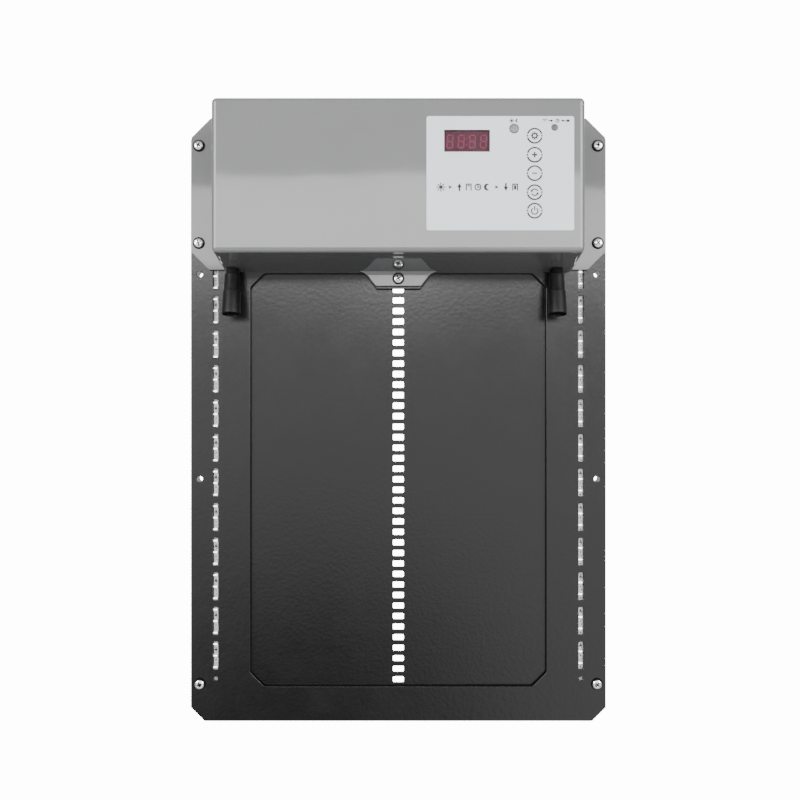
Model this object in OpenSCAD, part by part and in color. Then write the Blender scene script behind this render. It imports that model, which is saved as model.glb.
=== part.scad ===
// Automatic coop door: a sheet door driven up and down by a geared motor.
// +Z is up, the front faces -Y, +X is to the right seen from the front.
// Y = 0 is the wall that the side frames rest on, Z = 0 is the middle row of wall holes.

/* [Front panel] */
// Width of the front panel
panel_w = 300; // [280:1:340]
// Height of the front panel
panel_h = 440; // [420:1:480]
// Thickness of the front panel sheet
panel_t = 2; // [1.5:0.1:3]
// Height of the middle wall holes above the bottom edge
origin_up = 175; // [150:1:200]
// Depth from the panel's front to the wall
frame_d = 12; // [11:0.5:16]

/* [Doorway] */
// Width of the doorway
way_w = 214; // [180:1:220]
// Height of the doorway
way_h = 299; // [260:1:310]
// Height of the sill above the bottom edge
sill_h = 25; // [20:1:35]
// Corner cut of the doorway
way_cut = 10; // [4:0.5:16]

/* [Door] */
// Width of the door sheet
door_w = 258; // [240:1:259]
// Height of the door sheet
door_h = 385; // [360:1:400]
// Thickness of the door sheet
door_t = 2; // [1.5:0.1:2.2]
// Pitch of the ladder slots
ladder_pitch = 7.65; // [7.4:0.01:7.9]
// Height of one ladder slot
ladder_slot_h = 4.5; // [4.3:0.1:4.8]
// Width of one ladder slot
ladder_slot_w = 8.15; // [7.9:0.05:9]
// Number of ladder slots
ladder_count = 49; // [47:1:49]

/* [Side slots] */
// Distance of the slot rows from the middle
slot_x = 132; // [130:0.5:134]
// Width of a slot
slot_w = 4; // [3:0.1:6]
// Length of a slot
slot_l = 20; // [12:0.5:22]
// Pitch of the slots
slot_pitch = 25; // [22:0.5:30]

/* [Housing] */
// Width of the housing at the panel
box_w = 253; // [240:1:256]
// Height of the housing at the panel
box_h = 109; // [100:1:112]
// Depth of the housing in front of the panel
box_d = 65; // [60:1:75]
// Draft of each side over the depth
box_draft = 3.4; // [1:0.1:6]
// Wall of the housing
box_wall = 2.5; // [2:0.1:3.5]
// Thickness of the mounting flanges
flange_t = 3; // [2:0.5:4]

/* [Keypad] */
// Width of the label
label_w = 97; // [90:1:100]
// Height of the label
label_h = 75; // [70:1:80]
// Diameter of a button cap
button_d = 9.8; // [8:0.1:10]
// Press depth of a button
button_travel = 0.4; // [0.2:0.05:0.5]

/* [Drive] */
// Teeth on the door pinion
pinion_teeth = 16; // [16:1:16]
// Ladder slot that the pinion rests in when the door is closed
rest_slot = 43; // [42:1:43]
// Module of the spur pair
spur_m = 0.8; // [0.8:0.1:0.8]
// Diameter of the output shaft
shaft_d = 6; // [5:0.5:6]
// Diameter of the motor can
motor_d = 24; // [20:0.5:24]
// Length of the motor can
motor_l = 31; // [24:0.5:32]

/* [Hidden] */
$fn = 64;
e = 0.01;
z0 = -origin_up;
z_top = z0 + panel_h;
y_front = -frame_d;
y_rear = y_front + panel_t;
way_z0 = z0 + sill_h;
way_z1 = way_z0 + way_h;
panel_cut_lo = 10;
panel_cut_hi = 20;
// Tab of the panel that hangs into the doorway behind the housing's tab
hang_w_top = 49;
hang_w = 30;
hang_h = 12;
// Window in the panel for the pinion
window_w = 17;
window_h = 47;
through = 1;
// Wall holes and fixing screws
hole_x = 143.5;
hole_r = 2.15;
wall_hole_z = [0, 148];
frame_screw_z = -148;
flange_screw_z = [170, 240];
tab_screw_z = 144.5;
m4_head_r = 4.5;
m4_head_h = 2.6;
m4_r = 2;
nut_af = 7;
nut_h = 3.2;
m3_hole_r = 1.55;
strip_hole_r = 1.5;
strip_hole_z = z0 + 30.8;
// Door and guides
door_y = -8.2;
door_z0 = z0 + 20;
ladder_z0 = z0 + 29.1;
slide_gap = 0.3;
guide_x0 = 130.3;
guide_x1 = 134.6;
guide_in = 113;
guide_foot_x = 116;
guide_lip_x = 126.4;
guide_wall_x = 129.8;
guide_front_y = y_rear + 0.05;
guide_rear_y = -4.4;
guide_lip_t = 1.5;
guide_step_y = -8.6;
guide_end = 12;
side_in = 110;
first_slot_z = z0 + 47.5;
slot_count = 12;
// Light strips: one cut length of three lamps and a resistor fits each slot pitch
strip_x = 132.2;
strip_w = 3;
strip_t = 0.3;
strip_z0 = first_slot_z - slot_pitch / 2;
strip_l = slot_count * slot_pitch;
lamp_pitch = slot_pitch / 3;
lamps_per_strip = 3 * slot_count;
lamp_w = 3.2;
lamp_h = 1.5;
lamp_t = 0.8;
left_lamp_x = -132.5;
right_lamp_x = 132;
left_lamp_offset = 3.5;
right_lamp_offset = 6.5;
resistor = [1.6, 0.5, 1.1];
// Housing
box_z0 = 150.8;
box_z1 = box_z0 + box_h;
box_zc = (box_z0 + box_z1) / 2;
box_y = y_front - box_d;
box_in_y = box_y + box_wall;
box_r = 4.5;
front_r = 3.3;
flange_w = 298;
flange_cut_lo = 12.7;
flange_cut_hi = 13.8;
tab_w = 32;
tab_flare = 11;
tab_z0 = 139.2;
// Keypad
label_x0 = 18.6;
label_z1 = 243.5;
label_y = box_y - 0.3;
button_x = label_x0 + 71;
button_z = [230.6, 218.1, 206.0, 193.5, 181.4];
button_hole_r = 5.2;
flange_r = 5.9;
display_x0 = label_x0 + 11.6;
display_z1 = label_z1 - 9;
display_w = 30;
display_h = 14.4;
sensor_x = label_x0 + 57.5;
sensor_z = label_z1 - 8.2;
lamp_x = label_x0 + 84.1;
lamp_z = label_z1 - 7.4;
board_y0 = -69.6;
board_t = 1.6;
plunger_t = 0.7;
tact_h = board_y0 - box_in_y - slide_gap - plunger_t - button_travel - 0.1;
board_x0 = 21;
board_x1 = 113;
board_z0 = 170;
board_z1 = 243;
board_screw_x = [25, 109];
board_screw_z = [174, 239];
// Rear bridge
bridge_w = 248;
bridge_h = 36;
bridge_t = 2;
bridge_screw_x = 117;
bridge_screw_dz = [-11, 11];
pad_x = 15;
pad_dz = [-8, 8];
// Drive
pinion_r = pinion_teeth * ladder_pitch / (2 * PI);
pinion_tip = pinion_r + 1.55;
pinion_root = 17.3;
pinion_w = 6.6;
out_y = door_y + door_t / 2 - pinion_r;
out_z = ladder_z0 + rest_slot * ladder_pitch;
gear_teeth = 26;
cluster_teeth = 10;
wheel_teeth = 20;
wheel_m = 0.7;
centre_gap = 0.1;
axle_r = 1.2;
cluster_y = out_y + 3.18;
cluster_z = out_z + sqrt(pow((gear_teeth + cluster_teeth) * spur_m / 2 + centre_gap, 2) - pow(3.18, 2));
worm_x = 28.5;
worm_r = 3.1;
worm_throw = 0.7;
worm_lead = PI * wheel_m;
worm_l = 11;
worm_z0 = cluster_z - worm_l / 2;
worm_y = cluster_y - wheel_teeth * wheel_m / 2 - 3.6;
gear_angle = atan2(cluster_z - out_z, cluster_y - out_y);
case_x0 = 14;
case_x1 = 41;
case_y0 = worm_y - 12.6;
case_y1 = -13;
case_z0 = out_z - 14;
case_z1 = 217;
motor_z0 = case_z1 + 0.1;
case_wall = 2;
lid_t = 2;
bracket_x0 = 12;
bracket_t = 2;
bracket_x1 = 30;
bracket_z0 = 158;
bracket_z1 = 234;
bracket_screw_x = 22;
bracket_screw_z = [162.5, 226];
case_screw = [[-40.5, 174], [-40.5, 212], [-17, 212]];
case_boss_r = 3.2;
// Battery
cell_r = 9.2;
cell_l = 65;
cell_z = [192, 212.4];
cell_y = -25;
holder_x0 = -104;
holder_x1 = -32;
holder_y0 = -33;
holder_seat_y = -15;
holder_screw_x = [-88, -48];
holder_screw_z = (cell_z[0] + cell_z[1]) / 2;
// Cable inlets
inlet_x = [-117.5, 112];
inlet_y = -25;
inlet_r = 4;
inlet_seat_r = 4.9;
inlet_boss_r = 5.8;
inlet_boss_z1 = box_z0 + 5.4;
boot_tilt = 11;
boot_bore_r = 5.6;
boot_bore_top = 18;
boot_l = 34.2;
boot_neck_r = 2.6;

// A bar along +Y from y to y + l
module ycyl(x, y, z, r, l) {
    translate([x, y, z])
        rotate([-90, 0, 0])
            cylinder(r = r, h = l);
}

// A bar along +X from x to x + l
module xcyl(x, y, z, r, l) {
    translate([x, y, z])
        rotate([0, 90, 0])
            cylinder(r = r, h = l);
}

// A flat shape drawn in X and Z, given thickness from y to y + t
module xz_plate(y, t) {
    translate([0, y + t, 0])
        rotate([90, 0, 0])
            linear_extrude(height = t)
                children();
}

// A rectangle with rounded corners, centred
module round_rect(w, h, r) {
    union() {
        square([w - 2 * r, h], center = true);
        square([w, h - 2 * r], center = true);
        for (i = [-1, 1], j = [-1, 1])
            translate([i * (w / 2 - r), j * (h / 2 - r)])
                circle(r = r);
    }
}

// The outline of the panel with cut corners
module panel_outline(w, lo, hi, cut_lo, cut_hi) {
    polygon([
        [-w / 2 + cut_lo, lo], [w / 2 - cut_lo, lo], [w / 2, lo + cut_lo],
        [w / 2, hi - cut_hi], [w / 2 - cut_hi, hi], [-w / 2 + cut_hi, hi],
        [-w / 2, hi - cut_hi], [-w / 2, lo + cut_lo]
    ]);
}

// A pan head screw along +Y, head resting at y
module pan_screw(x, y, z, l) {
    difference() {
        union() {
            ycyl(x, y - e, z, m4_r, l + e);
            translate([x, y, z])
                rotate([90, 0, 0])
                    rotate_extrude()
                        polygon([
                            [0, 0], [m4_head_r, 0], [m4_head_r, 1.2], [m4_head_r - 0.5, 2],
                            [m4_head_r - 1.4, m4_head_h], [0, m4_head_h]
                        ]);
        }
        for (a = [0, 90])
            translate([x, y - m4_head_h + 0.55, z])
                rotate([0, a + 30, 0])
                    cube([4.2, 1.4, 0.9], center = true);
    }
}

// A small cap screw along a chosen direction, head resting on the origin
module small_screw(l, r = 1.5, head_r = 2.7, head_h = 1.8) {
    difference() {
        union() {
            translate([0, 0, -e])
                cylinder(r = r, h = l + e);
            translate([0, 0, -head_h])
                cylinder(r = head_r, h = head_h);
        }
        translate([0, 0, -head_h - e])
            cylinder(r = 1.3, h = 1, $fn = 6);
    }
}

// Doorway cut with clipped corners and the hanging tab left in
module doorway_outline() {
    difference() {
        polygon([
            [-way_w / 2 + way_cut, way_z0], [way_w / 2 - way_cut, way_z0],
            [way_w / 2, way_z0 + way_cut], [way_w / 2, way_z1 - way_cut],
            [way_w / 2 - way_cut, way_z1], [-way_w / 2 + way_cut, way_z1],
            [-way_w / 2, way_z1 - way_cut], [-way_w / 2, way_z0 + way_cut]
        ]);
        polygon([
            [-hang_w_top / 2, way_z1 + 1], [-hang_w_top / 2, way_z1],
            [-hang_w / 2, way_z1 - hang_h], [hang_w / 2, way_z1 - hang_h],
            [hang_w_top / 2, way_z1], [hang_w_top / 2, way_z1 + 1]
        ]);
    }
}

module front_panel() {
    color("dimgray")
    difference() {
        xz_plate(y_front, panel_t)
            difference() {
                panel_outline(panel_w, z0, z_top, panel_cut_lo, panel_cut_hi);
                doorway_outline();
                for (s = [-1, 1], k = [0:slot_count - 1])
                    translate([s * slot_x, first_slot_z + slot_pitch * k])
                        round_rect(slot_w, slot_l, 1);
                translate([0, out_z])
                    round_rect(window_w, window_h, 2);
            }
        for (s = [-1, 1]) {
            for (z = concat(wall_hole_z, flange_screw_z, [frame_screw_z]))
                ycyl(s * hole_x, y_front - through, z, hole_r, panel_t + 2 * through);
            ycyl(s * slot_x, y_front - through, strip_hole_z, strip_hole_r, panel_t + 2 * through);
        }
        ycyl(0, y_front - through, tab_screw_z, m4_r + 0.05, panel_t + 2 * through);
        for (z = bracket_screw_z)
            ycyl(bracket_screw_x, y_front - through, z, m3_hole_r, panel_t + 2 * through);
        for (x = holder_screw_x)
            ycyl(x, y_front - through, holder_screw_z, m3_hole_r, panel_t + 2 * through);
    }
}

module door_panel() {
    color("#303032")
    xz_plate(door_y, door_t)
        difference() {
            panel_outline(door_w, door_z0, door_z0 + door_h, 3, 3);
            for (k = [0:ladder_count - 1])
                translate([0, ladder_z0 + ladder_pitch * k])
                    round_rect(ladder_slot_w, ladder_slot_h, 0.6);
        }
}

// Right-hand side frame: an L shaped extrusion that takes the guide in its corner
module side_frame_right() {
    difference() {
        intersection() {
            union() {
                translate([guide_x1 + 0.1, y_rear, z0])
                    cube([panel_w / 2 - guide_x1 - 0.1, -y_rear, panel_h]);
                translate([side_in, guide_rear_y + 0.1, z0])
                    cube([guide_x1 + 0.2 - side_in, -guide_rear_y - 0.1, panel_h]);
            }
            xz_plate(y_rear - through, 2 * through - y_rear)
                panel_outline(panel_w, z0, z_top, panel_cut_lo, panel_cut_hi);
        }
        for (z = concat(wall_hole_z, flange_screw_z, [frame_screw_z]))
            ycyl(hole_x, y_rear - through, z, hole_r, 2 * through - y_rear);
        for (z = concat(flange_screw_z, [frame_screw_z]))
            translate([hole_x, -nut_h - 0.1, z])
                rotate([-90, 0, 0])
                    cylinder(r = (nut_af + 0.2) / sqrt(3), h = nut_h + 1, $fn = 6);
        translate([side_in - 1, -bridge_t - 0.1, out_z - bridge_h / 2 - 0.2])
            cube([bridge_w / 2 - side_in + 1.3, 3, bridge_h + 0.4]);
        for (z = bridge_screw_dz)
            ycyl(bridge_screw_x, -6, out_z + z, m3_hole_r, 7);
    }
}

module left_side_frame() {
    color("#2a2a2c")
    mirror([1, 0, 0])
        side_frame_right();
}

module right_side_frame() {
    color("#2a2a2c")
    side_frame_right();
}

// Nylon guide: a channel round the door's edge, a step for the light strip and a foot
module door_guide_right() {
    union() {
        translate([0, 0, z0 + guide_end])
            linear_extrude(height = panel_h - 2 * guide_end)
                polygon([
                    [guide_lip_x, guide_front_y], [guide_x0, guide_front_y],
                    [guide_x0, guide_step_y], [guide_x1, guide_step_y],
                    [guide_x1, guide_rear_y], [guide_in, guide_rear_y],
                    [guide_in, guide_rear_y - guide_lip_t],
                    [guide_wall_x, guide_rear_y - guide_lip_t],
                    [guide_wall_x, door_y - slide_gap], [guide_lip_x, door_y - slide_gap]
                ]);
        translate([guide_foot_x, guide_front_y, z0 + guide_end])
            cube([
                guide_x0 - guide_foot_x, guide_rear_y - guide_front_y,
                door_z0 - z0 - guide_end - slide_gap
            ]);
    }
}

module left_door_guide() {
    color("#1c1c1e")
    mirror([1, 0, 0])
        door_guide_right();
}

module right_door_guide() {
    color("#1c1c1e")
    door_guide_right();
}

// Flexible strip lying on the guide's step
module light_strip(x) {
    translate([x - strip_w / 2, guide_step_y - strip_t - 0.02, strip_z0])
        cube([strip_w, strip_t, strip_l]);
}

module left_light_strip() {
    color("white")
    light_strip(-strip_x);
}

module right_light_strip() {
    color("white")
    light_strip(strip_x);
}

// Lamps stand evenly along the strip, the resistors half way between two of them
module strip_lamps(x, offset) {
    for (k = [0:lamps_per_strip - 1])
        translate([
            x - lamp_w / 2, guide_step_y - strip_t - lamp_t - 0.04,
            first_slot_z + offset + (k - 1) * lamp_pitch - lamp_pitch / 2 - lamp_h / 2
        ])
            cube([lamp_w, lamp_t, lamp_h]);
}

module left_strip_lamps() {
    color("lightyellow")
    strip_lamps(left_lamp_x, left_lamp_offset);
}

module right_strip_lamps() {
    color("lightyellow")
    strip_lamps(right_lamp_x, right_lamp_offset);
}

module strip_resistors() {
    color("#202020")
    for (k = [0:slot_count - 1], side = [[-strip_x, left_lamp_offset], [strip_x, right_lamp_offset]])
        translate([
            side[0] - resistor[0] / 2, guide_step_y - strip_t - resistor[1] - 0.04,
            first_slot_z + slot_pitch * k + side[1] - resistor[2] / 2
        ])
            cube(resistor);
}

// The drafted box, shrunk by g all round for its inside
module box_body(g, open) {
    w = box_w / 2 - g - box_r;
    h = box_h / 2 - g - box_r;
    f = max(front_r - g, 1);
    wf = box_w / 2 - box_draft - g - f;
    hf = box_h / 2 - box_draft - g - f;
    hull() {
        for (i = [-1, 1], j = [-1, 1]) {
            translate([i * w, y_front + open, box_zc + j * h])
                rotate([90, 0, 0])
                    cylinder(r = box_r, h = 0.5 + open, $fn = 32);
            translate([i * wf, box_y + g + f, box_zc + j * hf])
                sphere(r = f, $fn = 32);
        }
    }
}

// Flange outline with the flared tab in the middle of its lower edge
module flange_outline() {
    flare = [for (i = [0:8]) [
        tab_w / 2 + tab_flare * (1 - cos(9 * i)), tab_z0 + 2 + (box_z0 - tab_z0 - 2) * i / 8
    ]];
    polygon(concat(
        [[-flange_w / 2 + flange_cut_lo, box_z0], [-flange_w / 2, box_z0 + flange_cut_lo],
            [-flange_w / 2, box_z1 - flange_cut_hi], [-flange_w / 2 + flange_cut_hi, box_z1],
            [flange_w / 2 - flange_cut_hi, box_z1], [flange_w / 2, box_z1 - flange_cut_hi],
            [flange_w / 2, box_z0 + flange_cut_lo], [flange_w / 2 - flange_cut_lo, box_z0]],
        [for (i = [8:-1:0]) flare[i]],
        [[tab_w / 2 - 2, tab_z0], [-tab_w / 2 + 2, tab_z0]],
        [for (p = flare) [-p[0], p[1]]]
    ));
}

module housing_cover() {
    color("gray")
    difference() {
        union() {
            difference() {
                union() {
                    box_body(0, 0);
                    xz_plate(y_front - flange_t, flange_t)
                        flange_outline();
                }
                box_body(box_wall, 1);
            }
            for (x = inlet_x) {
                translate([x, inlet_y, box_z0 + 0.2])
                    cylinder(r = inlet_seat_r, h = 3);
                translate([x, inlet_y, box_z0 + 2])
                    cylinder(r = inlet_boss_r, h = inlet_boss_z1 - box_z0 - 2);
            }
            for (x = board_screw_x, z = board_screw_z)
                ycyl(x, box_in_y - 0.5, z, 3, board_y0 - box_in_y + 0.5);
        }
        for (s = [-1, 1], z = flange_screw_z)
            ycyl(s * hole_x, y_front - flange_t - 1, z, hole_r, flange_t + 2);
        for (x = inlet_x)
            translate([x, inlet_y, box_z0 - 1])
                cylinder(r = inlet_r + 0.05, h = 8);
        for (x = board_screw_x, z = board_screw_z)
            ycyl(x, box_in_y + 0.3, z, 1.2, 8);
        ycyl(0, y_front - flange_t - 1, tab_screw_z, m4_r + 0.05, flange_t + 2);
        for (z = button_z)
            ycyl(button_x, box_y - 1, z, button_hole_r, box_wall + 2);
        translate([display_x0, box_y - 1, display_z1 - display_h])
            cube([display_w, box_wall + 2, display_h]);
        ycyl(sensor_x, box_y - 1, sensor_z, 3.2, box_wall + 2);
        ycyl(lamp_x, box_y - 1, lamp_z, 2.2, box_wall + 2);
    }
}

module keypad_label() {
    color("whitesmoke")
    difference() {
        xz_plate(label_y, 0.29)
            translate([label_x0 + label_w / 2, label_z1 - label_h / 2])
                round_rect(label_w, label_h, 1.5);
        for (z = button_z)
            ycyl(button_x, label_y - 1, z, button_hole_r, 3);
        translate([display_x0, label_y - 1, display_z1 - display_h])
            cube([display_w, 3, display_h]);
        ycyl(sensor_x, label_y - 1, sensor_z, 3.25, 3);
        ycyl(lamp_x, label_y - 1, lamp_z, 2.25, 3);
    }
}

module display_window() {
    color("maroon")
    translate([display_x0 + 0.05, label_y, display_z1 - display_h + 0.05])
        cube([display_w - 0.1, 1.2, display_h - 0.1]);
}

// The digits block stands on the board; its seven bar figures are shallow ribs
module display_module() {
    color("#301010")
    union() {
        translate([display_x0 + 0.15, label_y + 1.7, display_z1 - display_h + 0.2])
            cube([display_w - 0.3, board_y0 - label_y - 1.7, display_h - 0.4]);
        for (k = [0:3])
            translate([display_x0 + 4 + k * 7.3, label_y + 1.5, display_z1 - display_h / 2])
                seven_bars(4.6, 9.1);
    }
}

module seven_bars(w, h) {
    t = 0.9;
    for (z = [-h / 2 + t / 2, 0, h / 2 - t / 2])
        translate([0, 0.15, z])
            cube([w - 2 * t, 0.3, t], center = true);
    for (s = [-1, 1], z = [-h / 4, h / 4])
        translate([s * (w / 2 - t / 2), 0.15, z])
            cube([t, 0.3, h / 2 - 1.6 * t], center = true);
}

module light_sensor() {
    color("darkgray")
    union() {
        ycyl(sensor_x, label_y, sensor_z, 3.15, 0.5);
        ycyl(sensor_x, box_y, sensor_z, 3.1, board_y0 - box_y);
    }
}

module status_lamp() {
    color("darkgray")
    union() {
        ycyl(lamp_x, label_y, lamp_z, 2.15, 0.5);
        ycyl(lamp_x, box_y, lamp_z, 2.1, board_y0 - box_y);
    }
}

// A button cap with a retaining rim and the plunger that meets its switch
module button_at(z) {
    color("whitesmoke")
    union() {
        ycyl(button_x, label_y - 0.2, z, button_d / 2, box_in_y + slide_gap - label_y + 0.3);
        ycyl(button_x, box_in_y + slide_gap, z, flange_r, 0.5);
        ycyl(button_x, box_in_y + slide_gap + 0.4, z, 1.75, plunger_t - 0.4);
    }
}

module button_set() {
    button_at(button_z[0]);
}

module button_plus() {
    button_at(button_z[1]);
}

module button_minus() {
    button_at(button_z[2]);
}

module button_cycle() {
    button_at(button_z[3]);
}

module button_power() {
    button_at(button_z[4]);
}

// Rubber boot: a stepped sleeve that leans forward, open at its lower end
module boot_at(x) {
    color("#202020")
    translate([x, inlet_y, box_z0])
        difference() {
            union() {
                translate([0, 0, -1.1])
                    cylinder(r = inlet_seat_r - 0.1, h = 1.2);
                rotate([-boot_tilt, 0, 0])
                    rotate_extrude()
                        polygon([
                            [0, 0], [0.5, -0.2], [4.7, -1.1], [4.9, -4.6], [5.4, -5.4],
                            [5.7, -17], [6.2, -17.8], [6.6, -boot_l + 0.7], [6.3, -boot_l],
                            [0, -boot_l]
                        ]);
            }
            rotate([-boot_tilt, 0, 0])
                translate([0, 0, -boot_l - 1])
                    cylinder(r = boot_bore_r, h = boot_l + 1 - boot_bore_top);
            translate([0, 0, -1.2])
                cylinder(r = boot_neck_r, h = 5);
            rotate([-boot_tilt, 0, 0])
                translate([0, 0, -boot_bore_top - 1])
                    cylinder(r = boot_neck_r, h = boot_bore_top + 0.5);
        }
}

module left_cable_boot() {
    boot_at(inlet_x[0]);
}

module right_cable_boot() {
    boot_at(inlet_x[1]);
}

// Panel socket: threaded barrel through the underside, its pin points down
module socket_at(x) {
    color("#151515")
    translate([x, inlet_y, box_z0])
        union() {
            difference() {
                union() {
                    translate([0, 0, 0.2])
                        cylinder(r = inlet_r, h = 9);
                    translate([0, 0, 8.1])
                        cylinder(r = 4.8, h = 8);
                }
                translate([0, 0, -1])
                    cylinder(r = 2.75, h = 12);
            }
            translate([0, 0, 1])
                cylinder(r = 1, h = 12);
        }
}

module left_socket() {
    socket_at(inlet_x[0]);
}

module right_socket() {
    socket_at(inlet_x[1]);
}

module socket_nuts() {
    color("silver")
    for (x = inlet_x)
        translate([x, inlet_y, inlet_boss_z1 + 0.02])
            difference() {
                rotate(30)
                    cylinder(r = 5.4, h = 2.5, $fn = 6);
                translate([0, 0, -1])
                    cylinder(r = inlet_r + 0.05, h = 5);
            }
}

module flange_screws() {
    color("silver")
    for (s = [-1, 1], z = flange_screw_z)
        pan_screw(s * hole_x, y_front - flange_t, z, frame_d + flange_t - 0.3);
}

module tab_screw() {
    color("silver")
    pan_screw(0, y_front - flange_t, tab_screw_z, flange_t + panel_t + 0.6);
}

module frame_screws() {
    color("silver")
    for (s = [-1, 1])
        pan_screw(s * hole_x, y_front, frame_screw_z, frame_d - 0.3);
}

module frame_nuts() {
    color("silver")
    for (s = [-1, 1], z = [frame_screw_z, flange_screw_z[0], flange_screw_z[1]])
        translate([s * hole_x, -nut_h, z])
            rotate([-90, 0, 0])
                difference() {
                    cylinder(r = nut_af / sqrt(3), h = nut_h - 0.1, $fn = 6);
                    translate([0, 0, -1])
                        cylinder(r = m4_r + 0.05, h = nut_h + 2);
                }
}

module rear_bridge() {
    color("#2a2a2c")
    difference() {
        translate([-bridge_w / 2, -bridge_t, out_z - bridge_h / 2])
            cube([bridge_w, bridge_t, bridge_h]);
        for (s = [-1, 1]) {
            for (z = bridge_screw_dz) {
                ycyl(s * bridge_screw_x, -3, out_z + z, m3_hole_r, 5);
                translate([s * bridge_screw_x, -1.5, out_z + z])
                    rotate([-90, 0, 0])
                        cylinder(r1 = m3_hole_r, r2 = 3.1, h = 1.5 + e);
            }
            for (z = pad_dz)
                ycyl(s * pad_x, -3, out_z + z, 2.05, 5);
        }
    }
}

// Countersunk screws put in from the wall side
module bridge_screws() {
    color("silver")
    for (s = [-1, 1], z = bridge_screw_dz)
        translate([s * bridge_screw_x, 0, out_z + z])
            rotate([90, 0, 0])
                difference() {
                    union() {
                        translate([0, 0, 0.05])
                            cylinder(r1 = 3, r2 = 1.5, h = 1.45);
                        translate([0, 0, 1])
                            cylinder(r = 1.5, h = 3.2);
                    }
                    cylinder(r = 1.1, h = 0.9, $fn = 6);
                }
}

// Nylon pads hold the door against the pinion; two studs each sit in the bridge
module backing_pads() {
    color("gainsboro")
    for (s = [-1, 1]) {
        translate([s * pad_x - 7, door_y + door_t + slide_gap, out_z - 14])
            cube([14, -bridge_t - door_y - door_t - slide_gap - 0.02, 28]);
        for (z = pad_dz)
            ycyl(s * pad_x, -2.5, out_z + z, 2, 2.4);
    }
}

// Tooth flanks are straight so that they clear the ladder bars all round
module door_pinion() {
    color("gainsboro")
    translate([0, out_y, out_z])
        rotate([0, 90, 0])
            difference() {
                union() {
                    translate([0, 0, -pinion_w / 2])
                        linear_extrude(height = pinion_w)
                            union() {
                                circle(r = pinion_root);
                                for (k = [0:pinion_teeth - 1])
                                    rotate(90 + k * 360 / pinion_teeth)
                                        polygon([
                                            [pinion_root - 1, -1.95], [pinion_root + 0.9, -1.85],
                                            [pinion_r + 0.4, -1.85], [pinion_tip, -1.5],
                                            [pinion_tip, 1.5], [pinion_r + 0.4, 1.85],
                                            [pinion_root + 0.9, 1.85], [pinion_root - 1, 1.95]
                                        ]);
                            }
                    translate([0, 0, pinion_w / 2 - 1])
                        cylinder(r = 7, h = 6);
                }
                translate([0, 0, -10])
                    cylinder(r = shaft_d / 2 + 0.02, h = 30);
                for (k = [0:5])
                    rotate(k * 60 + 30)
                        translate([12, 0, -5])
                            cylinder(r = 2.6, h = 10);
            }
}

module output_shaft() {
    color("silver")
    xcyl(-5, out_y, out_z, shaft_d / 2, case_x1 - 1 + 5);
}

// Spur teeth with plain tapered flanks
module spur_outline(teeth, m) {
    rp = teeth * m / 2;
    w = PI * m;
    union() {
        circle(r = rp - 1.15 * m);
        for (k = [0:teeth - 1])
            rotate(k * 360 / teeth)
                polygon([
                    [rp - 1.5 * m, -0.27 * w], [rp - 1.15 * m, -0.26 * w], [rp, -0.17 * w],
                    [rp + 0.8 * m, -0.09 * w], [rp + 0.8 * m, 0.09 * w], [rp, 0.17 * w],
                    [rp - 1.15 * m, 0.26 * w], [rp - 1.5 * m, 0.27 * w]
                ]);
    }
}

// A flat outline drawn in Y and Z, given thickness along +X
module yz_plate(x, t) {
    translate([x, 0, 0])
        rotate([90, 0, 90])
            linear_extrude(height = t)
                children();
}

module output_gear() {
    color("tan")
    translate([0, out_y, out_z])
        difference() {
            yz_plate(18, 5)
                rotate(gear_angle)
                    spur_outline(gear_teeth, spur_m);
            xcyl(10, 0, 0, shaft_d / 2 + 0.02, 20);
        }
}

module cluster_axle() {
    color("silver")
    xcyl(case_x0 + 0.5, cluster_y, cluster_z, axle_r, case_x1 - case_x0 - 1);
}

module worm_wheel() {
    color("tan")
    translate([0, cluster_y, cluster_z])
        difference() {
            union() {
                yz_plate(17, 8)
                    rotate(gear_angle + 180 + 180 / cluster_teeth)
                        spur_outline(cluster_teeth, spur_m);
                yz_plate(25.5, 6)
                    rotate(180)
                        spur_outline(wheel_teeth, wheel_m);
                xcyl(24.5, 0, 0, 3, 12.5);
            }
            xcyl(10, 0, 0, axle_r + 0.05, 30);
        }
}

// The thread is an off-centre round turned along the shaft
module worm() {
    color("goldenrod")
    translate([worm_x, worm_y, 0]) {
        translate([0, 0, worm_z0])
            rotate(90 + 180 - 360 * worm_l / 2 / worm_lead)
                linear_extrude(height = worm_l, twist = -360 * worm_l / worm_lead, slices = 60,
                    segments = 16)
                    translate([worm_throw, 0])
                        circle(r = worm_r, $fn = 16);
        translate([0, 0, worm_z0 - 3])
            cylinder(r = 1, h = 3.5);
        translate([0, 0, worm_z0 + worm_l - 0.5])
            cylinder(r = 1, h = case_z1 + 6 - worm_z0 - worm_l + 0.5);
    }
}

module motor_can() {
    color("silver")
    translate([worm_x, worm_y, motor_z0])
        difference() {
            union() {
                rotate_extrude()
                    polygon([
                        [0, 0], [motor_d / 2 - 1, 0], [motor_d / 2, 1], [motor_d / 2, motor_l - 2],
                        [motor_d / 2 - 1.2, motor_l - 1], [0, motor_l - 1]
                    ]);
                cylinder(r = 4, h = motor_l);
            }
            translate([0, 0, -1])
                cylinder(r = 1.4, h = 9);
        }
}

module motor_terminals() {
    color("gold")
    for (s = [-1, 1])
        translate([worm_x + s * 8 - 0.25, worm_y - 1.4, motor_z0 + motor_l - 1])
            cube([0.5, 2.8, 5.5]);
}

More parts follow.
